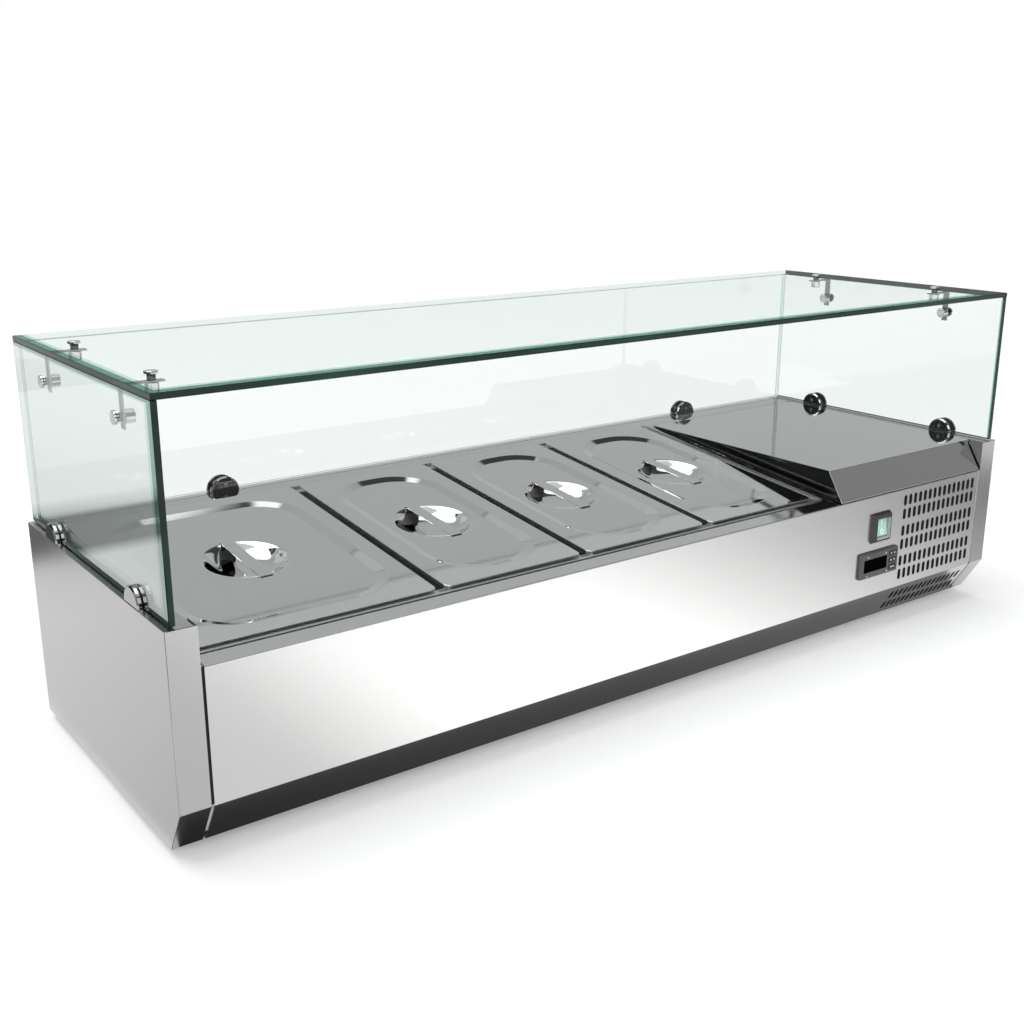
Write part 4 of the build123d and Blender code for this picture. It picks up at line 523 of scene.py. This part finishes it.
def pressed(name, rings, count=96):
    """Draws a sheet inwards from ring to ring and closes its middle."""
    shape = bmesh.new()
    turn = shape.verts.layers.float.new("turn")
    ring = bmesh.ops.create_circle(shape, radius=1, segments=count)["verts"]
    for v in ring:
        v[turn] = math.atan2(v.co.y, v.co.x) + math.pi / count
    edges = shape.edges[:]
    place_ring(ring, turn, *rings[0])
    for size in rings[1:]:
        drawn = bmesh.ops.extrude_edge_only(shape, edges=edges)["geom"]
        ring = [g for g in drawn if isinstance(g, bmesh.types.BMVert)]
        edges = [g for g in drawn if isinstance(g, bmesh.types.BMEdge)]
        place_ring(ring, turn, *size)
    bmesh.ops.contextual_create(shape, geom=edges)
    bmesh.ops.recalc_face_normals(shape, faces=shape.faces)
    if sum(f.normal.z * f.calc_area() for f in shape.faces) < 0:
        bmesh.ops.reverse_faces(shape, faces=shape.faces)
    shape.verts.layers.float.remove(turn)
    mesh = bpy.data.meshes.new(name)
    shape.to_mesh(mesh)
    shape.free()
    return mesh


def lid_rings(half):
    """A lid's rings from its edge to the floor of its dish: half sizes, corner and height."""
    long = LID_LENGTH / 2
    rings = [(half, long, LID_CORNER, 0.0031), (half, long, LID_CORNER, 0.0034)]
    for inset, height in ((0.00015, 0.0037), (0.0005, LID_TOP), (0.0012, LID_TOP)):
        rings.append((half - inset, long - inset, LID_CORNER, height))
    for inset, fall in (
        (0.0195, 0.0),
        (0.0202, 0.0),
        (0.0207, 0.00003),
        (0.0212, 0.00012),
        (0.0217, 0.00025),
        (0.0222, 0.00038),
        (0.0308, 0.00262),
        (0.0313, 0.00275),
        (0.0318, 0.00288),
        (0.0323, 0.00297),
        (0.0328, 0.003),
        (0.0335, 0.003),
    ):
        corner = STEP_CORNER + LID_BORDER + STEP_WIDTH - inset
        rings.append((half - inset, long - inset, corner, LID_TOP - fall))
    low = LID_TOP - STEP_DROP
    for radius, height in (
        (0.0500, 0.0),
        (0.0482, 0.0),
        (0.0472, -0.00008),
        (0.0462, -0.00025),
        (0.0452, -0.00055),
        (0.0442, -0.00105),
        (0.0431, -0.0018),
        (0.0416, -0.0030),
        (0.0400, -0.0046),
        (0.0380, -0.0064),
        (0.0355, -0.0083),
        (0.0325, -0.0100),
        (0.0290, -0.0114),
        (0.0250, -0.0123),
        (0.0200, -0.0128),
        (0.0140, -0.0130),
        (0.0080, -0.0130),
    ):
        rings.append((radius, radius, radius, low + height))
    return rings


HALF_LEFT, HALF_WIDTH = -0.5725, 0.265
THIRD_LEFT, THIRD_WIDTH, THIRD_PITCH = -0.2972, 0.176, 0.1863
lids = [("half_lid", "half_lid_strap", HALF_LEFT, HALF_WIDTH)]
for k in range(3):
    left = THIRD_LEFT + THIRD_PITCH * k
    lids.append((f"third_lid_{k + 1}", f"third_lid_strap_{k + 1}", left, THIRD_WIDTH))
for lid, strap, left, width in lids:
    mesh = pressed(lid + "_pressing", lid_rings(width / 2))
    mesh.transform(on_deck @ Matrix.Translation((left + width / 2, LID_MIDDLE, 0)))
    piece = fitted(mesh, lid_steel, "lid_steel", 0.0, lid, 2, 50, lid)
    sheet = piece.modifiers.new("sheet", "SOLIDIFY")
    sheet.thickness = LID_SHEET
    sheet.offset = -1
    flat = piece.modifiers.new("flat panels", "WEIGHTED_NORMAL")
    flat.keep_sharp = True
    edged(strap, lid_steel, "lid_steel", 0.0004, body=lid, segments=3)

# Glass canopy.
# Two ends, a back and a top of 6 mm toughened glass; it is open in front, above the controls.
# Edges are ground and look deep green, because light travels the long way through the pane.
def within(tree, axis, middle, reach):
    """1 where the piece's own coordinate lies within a reach of a middle, else 0."""
    node = tree.nodes.new("ShaderNodeMath")
    node.operation = "COMPARE"
    node.inputs[1].default_value = middle
    node.inputs[2].default_value = reach
    tree.links.new(axis, node.inputs[0])
    return node.outputs["Value"]


def combine(tree, operation, *values):
    """Joins masks or numbers with one maths operation."""
    total = values[0]
    for value in values[1:]:
        node = tree.nodes.new("ShaderNodeMath")
        node.operation = operation
        for socket, item in zip(node.inputs, (total, value)):
            if isinstance(item, float):
                socket.default_value = item
            else:
                tree.links.new(item, socket)
        total = node.outputs["Value"]
    return total


def own_axes(tree, wanted="XZ"):
    """The piece's own coordinates along the wanted axes."""
    place = tree.nodes.new("ShaderNodeTexCoord")
    axes = tree.nodes.new("ShaderNodeSeparateXYZ")
    tree.links.new(place.outputs["Object"], axes.inputs["Vector"])
    return [axes.outputs[axis] for axis in wanted]


def patch(tree, x, z, middle_x, middle_z, wide, tall):
    """A mask of a small upright rectangle."""
    across = within(tree, x, middle_x, wide / 2)
    return combine(tree, "MULTIPLY", across, within(tree, z, middle_z, tall / 2))


def disc(tree, x, z, middle_x, middle_z, radius, width=None):
    """A mask of a dot, or of a ring where a width is given."""
    dx = combine(tree, "SUBTRACT", x, middle_x)
    dz = combine(tree, "SUBTRACT", z, middle_z)
    square = combine(
        tree, "ADD", combine(tree, "MULTIPLY", dx, dx), combine(tree, "MULTIPLY", dz, dz)
    )
    out = combine(tree, "POWER", square, 0.5)
    return within(tree, out, radius, width / 2) if width else within(tree, out, 0.0, radius)


def marked(tree, shader, ground, mask, colour):
    """Prints a mask over a surface's colour."""
    over = tree.nodes.new("ShaderNodeMix")
    over.data_type = "RGBA"
    over.inputs[7].default_value = (*colour, 1)
    tree.links.new(mask, over.inputs[0])
    tree.links.new(ground, over.inputs[6])
    tree.links.new(over.outputs[2], shader.inputs["Base Color"])
    return over.outputs[2]


def clear_glass(name, tint, mirror, rims):
    """Clear glass that mirrors at a slant; near the rims it shows the green cut edge inside."""
    material = bpy.data.materials.new(name)
    material.use_nodes = True
    tree = material.node_tree
    tree.nodes.remove(tree.nodes["Principled BSDF"])
    gaps = []
    for axis, place, width in rims:
        (along,) = own_axes(tree, axis)
        gap = combine(tree, "ABSOLUTE", combine(tree, "SUBTRACT", along, place), 0.0)
        gaps.append(combine(tree, "DIVIDE", gap, width))
    through = tree.nodes.new("ShaderNodeBsdfTransparent")
    through.inputs["Color"].default_value = (*tint, 1)
    if gaps:
        colour = steps(
            tree,
            combine(tree, "MINIMUM", *gaps),
            (0.55, (0.13, 0.3, 0.24)),
            (0.6, (0.22, 0.42, 0.34)),
            (0.64, (0.6, 0.76, 0.69)),
            (0.95, (0.68, 0.82, 0.76)),
            (1.0, tint),
        )
        tree.links.new(colour, through.inputs["Color"])
    gloss = tree.nodes.new("ShaderNodeBsdfGlossy")
    gloss.inputs["Roughness"].default_value = 0.0
    gloss.inputs["Color"].default_value = (0.95, 1.0, 0.98, 1)
    slant = tree.nodes.new("ShaderNodeFresnel")
    slant.inputs["IOR"].default_value = 1.5
    skin = tree.nodes.new("ShaderNodeNewGeometry")
    outer = combine(tree, "SUBTRACT", 1.0, skin.outputs["Backfacing"])
    share = combine(tree, "MULTIPLY", slant.outputs["Fac"], outer, mirror)
    blend = tree.nodes.new("ShaderNodeMixShader")
    tree.links.new(share, blend.inputs["Fac"])
    tree.links.new(through.outputs["BSDF"], blend.inputs[1])
    tree.links.new(gloss.outputs["BSDF"], blend.inputs[2])
    tree.links.new(blend.outputs["Shader"], tree.nodes["Material Output"].inputs["Surface"])
    return material


def green_edge(name, *shades):
    """A polished pane edge, whose green deepens and fades along its length."""
    material, tree, shader = finish_of(name, roughness=0.06, Specular_IOR_Level=0.3)
    tree.links.new(
        steps(tree, noise(tree, 14, detail=3, stretch=(0.3, 0.6, 1)), *shades),
        shader.inputs["Base Color"],
    )
    bump(tree, shader, noise(tree, 400), 0.00001)
    return material


edge_glass = green_edge(
    "ground glass edge",
    (0.3, (0.001, 0.007, 0.004)),
    (0.52, (0.003, 0.025, 0.016)),
    (0.8, (0.012, 0.07, 0.05)),
)
arris_glass = green_edge(
    "glass arris", (0.3, (0.02, 0.07, 0.055)), (0.7, (0.05, 0.13, 0.1))
)
far_arris = green_edge(
    "far glass arris", (0.3, (0.16, 0.2, 0.19)), (0.7, (0.26, 0.31, 0.29))
)
# Painted light: the far edges take a clear finish and paler arrises than the near ones, though
# all are the same ground edge.
far_glass = clear_glass("clear far edge", (0.86, 0.92, 0.9), 1.0, ())


WIDE, NEAR_EDGE, FAR_EDGE, ARRIS, FAR_ARRIS = range(5)
FAR_Y = 0.18


def broken(shape):
    """Grinds a narrow arris on the pane's outline."""
    outline = [e for e in shape.edges if e.calc_length() > 0.05 and e.calc_face_angle(0) > 1]
    for face in rolled(shape, outline, 0.0004, 1, ARRIS):
        if face.calc_center_median().y > FAR_Y:
            face.material_index = FAR_ARRIS


def pane(node, thin, tint, mirror, *rims):
    """A glass pane: wide faces clear, near edges green, far edges clear between dark arrises; the
    far edges' clearness and paler arrises are painted light.
    """
    ends = {}
    for number, axis in enumerate("XYZ"):
        places = [v.co[number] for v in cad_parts[node].data.vertices]
        ends[axis + "-"], ends[axis + "+"] = min(places), max(places)
    bands = [(rim[0], ends[rim], width) for rim, width in rims]
    wide = clear_glass(node.replace("_", " "), tint, mirror, bands)
    piece = edged(
        node,
        (wide, edge_glass, far_glass, arris_glass, far_arris),
        "clear_glass",
        0.0,
        shaping=broken,
    )
    for face in piece.data.polygons:
        if face.material_index == WIDE and abs(face.normal[thin]) < 0.9:
            far = face.center.y > FAR_Y or node == "back_glass"
            face.material_index = FAR_EDGE if far else NEAR_EDGE


pane("left_glass", 0, (0.945, 0.97, 0.96), 2.0, ("Y-", 0.016), ("Z-", 0.009), ("Z+", 0.005))
pane("right_glass", 0, (0.945, 0.97, 0.96), 1.8, ("Y-", 0.004))
pane("back_glass", 1, (0.945, 0.965, 0.957), 1.8)
pane("top_glass", 2, (0.975, 0.992, 0.986), 0.3, ("X-", 0.014), ("X+", 0.006), ("Y-", 0.02))

# Glass clamps, brackets and knobs.
# Die-cast zinc, polished and chromed, gripping the panes on clear pads with a grub screw.
chrome, tree, shader = finish_of("chrome", metallic=1.0)
tree.links.new(
    steps(tree, noise(tree, 90), (0.3, (0.6, 0.6, 0.605)), (0.7, (0.68, 0.68, 0.685))),
    shader.inputs["Base Color"],
)
tree.links.new(
    steps(tree, noise(tree, 200), (0.3, 0.03), (0.7, 0.08)), shader.inputs["Roughness"]
)
# The clamps take a darker copy of the chrome: painted shade for the dark surroundings they
# mirror.
shaded_chrome = satin_steel("shaded chrome", (0.4, 0.4, 0.405), 0.05, "z", 0.000001)
strip_nickel = satin_steel("strip nickel", (0.34, 0.34, 0.34), 0.3, "z")
pad_plastic = moulded("smoked pad plastic", (0.05, 0.052, 0.05), (0.08, 0.083, 0.08), 0.35)
edged("glass_clamps", shaded_chrome, "chrome_fitting", 0.0008, segments=3)
edged("corner_brackets", strip_nickel, "chrome_fitting", 0.0002)
edged("knob_caps", chrome, "chrome_fitting", 0.0003)
edged("knob_barrels", chrome, "chrome_fitting", 0.0003)
paint("clamp_pads", pad_plastic)
paint("clamp_screws", zinc_plate)

# Power switch.
# A black moulded surround snaps into the front panel and holds a green rocker with I and O that
# glows faintly as painted light.
SWITCH_X, SWITCH_Z = 0.358, 0.1496
glowing_rocker_green, tree, shader = finish_of("rocker green with painted glow", roughness=0.16, Coat_Weight=0.6)
shader.inputs["Coat Roughness"].default_value = 0.04
x, z = own_axes(tree)
glow = steps(
    tree, noise(tree, 70, 2), (0.35, (0.24, 0.52, 0.39)), (0.65, (0.42, 0.68, 0.55))
)
signs = combine(
    tree,
    "MAXIMUM",
    patch(tree, x, z, SWITCH_X, SWITCH_Z + 0.0062, 0.0014, 0.0066),
    disc(tree, x, z, SWITCH_X, SWITCH_Z - 0.0055, 0.0027, 0.0012),
)
painted_glow = marked(tree, shader, glow, signs, (0.9, 0.97, 0.93))
# Painted light: the rocker's colour, signs included, also feeds a faint emission; there is no
# lamp in the switch.
tree.links.new(painted_glow, shader.inputs["Emission Color"])
shader.inputs["Emission Strength"].default_value = 0.25
housing_plastic = moulded(
    "switch surround plastic", (0.02, 0.02, 0.021), (0.04, 0.04, 0.042), 0.3
)
tree = housing_plastic.node_tree
shader = tree.nodes["Principled BSDF"]
x, z = own_axes(tree)
# Painted highlight: a pale strip down the surround's right side and along its bottom.
right = within(tree, x, SWITCH_X + 0.0127, 0.0026)
low = combine(
    tree,
    "MULTIPLY",
    within(tree, z, SWITCH_Z - 0.0143, 0.0018),
    within(tree, x, SWITCH_X + 0.0025, 0.0128),
)
tall = within(tree, z, SWITCH_Z - 0.002, 0.0140)
pale = combine(tree, "MAXIMUM", combine(tree, "MULTIPLY", right, tall), low)
pale = combine(tree, "MULTIPLY", pale, 0.8)
marked(tree, shader, shader.inputs["Base Color"].links[0].from_socket, pale, (0.5, 0.55, 0.52))
edged("switch_housing", housing_plastic, "black_plastic", 0.0004)
edged("switch_rocker", glowing_rocker_green, "green_rocker", 0.0006, body="switch_rocker")

# Thermostat.
# A dark grey moulded bezel with a smoked window, four corner dots and three printed keys.
PRINT_WHITE = (0.85, 0.85, 0.85)
DOT_RADIUS = 0.0011
bezel_plastic = moulded(
    "bezel plastic", (0.095, 0.095, 0.097), (0.125, 0.125, 0.128), 0.42, Specular_IOR_Level=0.4
)
tree = bezel_plastic.node_tree
shader = tree.nodes["Principled BSDF"]
x, z = own_axes(tree)
DOTS = ((0.334, 0.1129), (0.3700, 0.1129), (0.3336, 0.0869), (0.3737, 0.0875))
dots = combine(tree, "MAXIMUM", *[disc(tree, x, z, *dot, DOT_RADIUS) for dot in DOTS])
marked(tree, shader, shader.inputs["Base Color"].links[0].from_socket, dots, PRINT_WHITE)
window_dark, tree, shader = finish_of("smoked window", roughness=0.08, Specular_IOR_Level=0.0)
tree.links.new(
    steps(tree, noise(tree, 60), (0.3, (0.002, 0.001, 0.002)), (0.7, (0.004, 0.003, 0.004))),
    shader.inputs["Base Color"],
)
edged("thermostat_housing", bezel_plastic, "black_plastic", 0.0004)
edged("thermostat_window", window_dark, "dark_window", 0.0002)
KEY_X = 0.3845
for key, key_z, printed in (
    ("up", 0.1104, ((-0.0032, 0.0016, 0.0026), (0.0032, 0.0016, 0.0026))),
    ("down", 0.1008, ((-0.0032, 0.0016, 0.0026), (0.0032, 0.0016, 0.0026))),
    ("set", 0.0912, ((0.0, 0.0084, 0.0013),)),
):
    node = f"thermostat_{key}_button"
    key_plastic = moulded(
        f"key plastic {key}", (0.02, 0.02, 0.021), (0.035, 0.035, 0.037), 0.4
    )
    tree = key_plastic.node_tree
    shader = tree.nodes["Principled BSDF"]
    x, z = own_axes(tree)
    signs = [patch(tree, x, z, KEY_X + dx, key_z, wide, tall) for dx, wide, tall in printed]
    signs = combine(tree, "MAXIMUM", *signs)
    marked(tree, shader, shader.inputs["Base Color"].links[0].from_socket, signs, PRINT_WHITE)
    edged(node, key_plastic, "button_plastic", 0.0004, body=node)

# Cable bushing.
# A moulded rubber grommet snaps into the back panel for the mains lead.
paint("cable_bushing", rubber)

# Floor, light and camera.
# A pale floor and a white background, with a soft overhead light and one lamp in front.
# Polished surfaces mirror a shaded dome and a few reflectors and flags that nothing else sees.
world = bpy.data.worlds.new("studio")
scene.world = world
world.use_nodes = True
tree = world.node_tree
path = tree.nodes.new("ShaderNodeLightPath")
seen = combine(
    tree, "MAXIMUM", path.outputs["Is Camera Ray"], path.outputs["Is Transmission Ray"]
)
direction = tree.nodes.new("ShaderNodeTexCoord")
height = tree.nodes.new("ShaderNodeSeparateXYZ")
tree.links.new(direction.outputs["Generated"], height.inputs["Vector"])
low_dome = ((0.0, 0.6), (0.2, 0.62), (0.35, 0.59), (0.56, 0.58))
high_dome = ((0.783, 0.56), (0.8, 1.8), (1.0, 1.2))
over_front = ((0.6, 0.07), (0.826, 0.07), (0.836, 1.8), (1.0, 1.2))
dome = steps(tree, height.outputs["Z"], *low_dome, *high_dome)
dark_dome = steps(tree, height.outputs["Z"], *low_dome, *over_front)
spread = tree.nodes.new("ShaderNodeMapRange")
spread.inputs["From Min"].default_value = -1
tree.links.new(height.outputs["Y"], spread.inputs["Value"])
rear = steps(tree, spread.outputs["Result"], (0.739, 0.0), (0.745, 1.0))
above = tree.nodes.new("ShaderNodeMix")
above.data_type = "RGBA"
tree.links.new(rear, above.inputs[0])
tree.links.new(dark_dome, above.inputs[6])
tree.links.new(dome, above.inputs[7])
front_side = steps(
    tree, spread.outputs["Result"], (0.1, 0.12), (0.26, 0.5), (0.3, 0.52), (0.57, 1.0)
)
shaded = tree.nodes.new("ShaderNodeVectorMath")
shaded.operation = "SCALE"
tree.links.new(above.outputs[2], shaded.inputs["Vector"])
tree.links.new(front_side, shaded.inputs["Scale"])
ambient = tree.nodes.new("ShaderNodeMix")
ambient.data_type = "RGBA"
ambient.inputs[6].default_value = (0.5, 0.5, 0.51, 1)
tree.links.new(path.outputs["Is Glossy Ray"], ambient.inputs[0])
tree.links.new(shaded.outputs["Vector"], ambient.inputs[7])
shown = tree.nodes.new("ShaderNodeMix")
shown.data_type = "RGBA"
shown.inputs[7].default_value = (1, 1, 1, 1)
tree.links.new(seen, shown.inputs[0])
tree.links.new(ambient.outputs[2], shown.inputs[6])
tree.links.new(shown.outputs[2], tree.nodes["Background"].inputs["Color"])

FLOOR_LIFT = 0.25
floor_shape = bmesh.new()
bmesh.ops.create_grid(floor_shape, x_segments=1, y_segments=1, size=12)
floor_mesh = bpy.data.meshes.new("floor")
floor_shape.to_mesh(floor_mesh)
floor_shape.free()
floor = bpy.data.objects.new("floor", floor_mesh)
scene.collection.objects.link(floor)
pale = bpy.data.materials.new("pale floor")
pale.use_nodes = True
tree = pale.node_tree
shader = tree.nodes["Principled BSDF"]
shader.inputs["Base Color"].default_value = (0.86, 0.86, 0.86, 1)
shader.inputs["Roughness"].default_value = 0.9
shader.inputs["Specular IOR Level"].default_value = 0.0
path = tree.nodes.new("ShaderNodeLightPath")
rays = [path.outputs[f"Is {kind} Ray"] for kind in ("Camera", "Glossy", "Transmission")]
lift = combine(tree, "MULTIPLY", combine(tree, "MAXIMUM", *rays), FLOOR_LIFT)
shader.inputs["Emission Color"].default_value = (1, 1, 1, 1)
tree.links.new(lift, shader.inputs["Emission Strength"])
floor_mesh.materials.append(pale)


def lamp(name, place, aim, size, power):
    """A large square soft lamp."""
    data = bpy.data.lights.new(name, "AREA")
    data.shape = "SQUARE"
    data.size = size
    data.energy = power
    light = bpy.data.objects.new(name, data)
    scene.collection.objects.link(light)
    light.location = place
    light.rotation_euler = (Vector(aim) - Vector(place)).to_track_quat("-Z", "Y").to_euler()


sky = bpy.data.lights.new("overhead light", "SUN")
sky.energy = 1.25
sky.angle = math.radians(46)
overhead = bpy.data.objects.new("overhead light", sky)
scene.collection.objects.link(overhead)
overhead.rotation_euler = Vector((0.2, -0.14, -0.97)).to_track_quat("-Z", "Y").to_euler()
lamp("front lamp", (-1.6, -3.0, 2.2), (0, 0, 0.1), 2.0, 30)


def card(name, centre, size, turn, along, *shades):
    """A studio reflector that only polished surfaces see, shaded along one of its sides."""
    shape = bmesh.new()
    bmesh.ops.create_grid(shape, x_segments=1, y_segments=1, size=0.5)
    bmesh.ops.scale(shape, verts=shape.verts, vec=(size[0], size[1], 1))
    mesh = bpy.data.meshes.new(name)
    shape.to_mesh(mesh)
    shape.free()
    sheet = bpy.data.objects.new(name, mesh)
    scene.collection.objects.link(sheet)
    sheet.location = centre
    sheet.rotation_euler = [math.radians(a) for a in turn]
    material = bpy.data.materials.new(name)
    material.use_nodes = True
    tree = material.node_tree
    tree.nodes.remove(tree.nodes["Principled BSDF"])
    glow = tree.nodes.new("ShaderNodeEmission")
    place = tree.nodes.new("ShaderNodeTexCoord")
    axes = tree.nodes.new("ShaderNodeSeparateXYZ")
    tree.links.new(place.outputs["Object"], axes.inputs["Vector"])
    reach = tree.nodes.new("ShaderNodeMapRange")
    half = size["XY".index(along)] / 2
    reach.inputs["From Min"].default_value = -half
    reach.inputs["From Max"].default_value = half
    tree.links.new(axes.outputs[along], reach.inputs["Value"])
    shade = steps(tree, reach.outputs["Result"], *[(p, v / 2) for p, v in shades])
    tree.links.new(shade, glow.inputs["Color"])
    glow.inputs["Strength"].default_value = 2
    tree.links.new(glow.outputs["Emission"], tree.nodes["Material Output"].inputs["Surface"])
    mesh.materials.append(material)
    sheet.visible_camera = False
    sheet.visible_diffuse = False
    sheet.visible_shadow = False
    sheet.visible_transmission = False
    sheet.visible_volume_scatter = False


card(
    "front reflector",
    (0.3, -0.5, 0.002),
    (2.0, 0.56),
    (0, 0, 0),
    "X",
    (0.0, 0.82),
    (0.142, 0.93),
    (0.182, 1.22),
    (0.235, 1.62),
    (0.43, 1.62),
    (0.512, 1.27),
    (0.635, 0.83),
    (0.85, 0.42),
    (0.94, 0.22),
)
card(
    "underside flag",
    (0, -0.12, 0.001),
    (1.18, 0.18),
    (0, 0, 0),
    "X",
    (0.0, 0.028),
    (0.5, 0.09),
    (1.0, 0.19),
)
card(
    "end reflector",
    (-1.0, 0.4, 0.002),
    (0.78, 1.4),
    (0, 0, 0),
    "Y",
    (0.0, 0.66),
    (0.293, 0.84),
    (0.571, 0.95),
    (0.736, 0.92),
    (0.779, 0.1),
    (0.93, 0.1),
    (1.0, 0.66),
)
card(
    "side reflector",
    (-1.6, 2.3, 0.002),
    (1.8, 2.4),
    (0, 0, 0),
    "Y",
    (0.0, 0.66),
    (0.25, 0.78),
    (1.0, 0.9),
)
card("corner flag", (-1.15, -0.42, 0.003), (0.5, 0.3), (0, 0, 0), "X", (0.0, 0.05), (1.0, 0.05))
card("left flag", (-2.3, 1.95, 1.45), (2.6, 2.0), (70, 0, 50), "X", (0.0, 0.02), (1.0, 0.03))
card("far reflector", (0.8, 4.9, 0.002), (9.0, 5.4), (0, 0, 0), "X", (0.0, 0.6), (1.0, 0.6))

lens = bpy.data.cameras.new("camera")
lens.lens = 43.54
lens.sensor_width = 36.0
lens.clip_start = 0.01
camera = bpy.data.objects.new("camera", lens)
scene.collection.objects.link(camera)
camera.location = (-0.9391, -1.1536, 0.62625)
camera.rotation_euler = [math.radians(a) for a in (73.47, 0.0, -36.33)]
scene.camera = camera
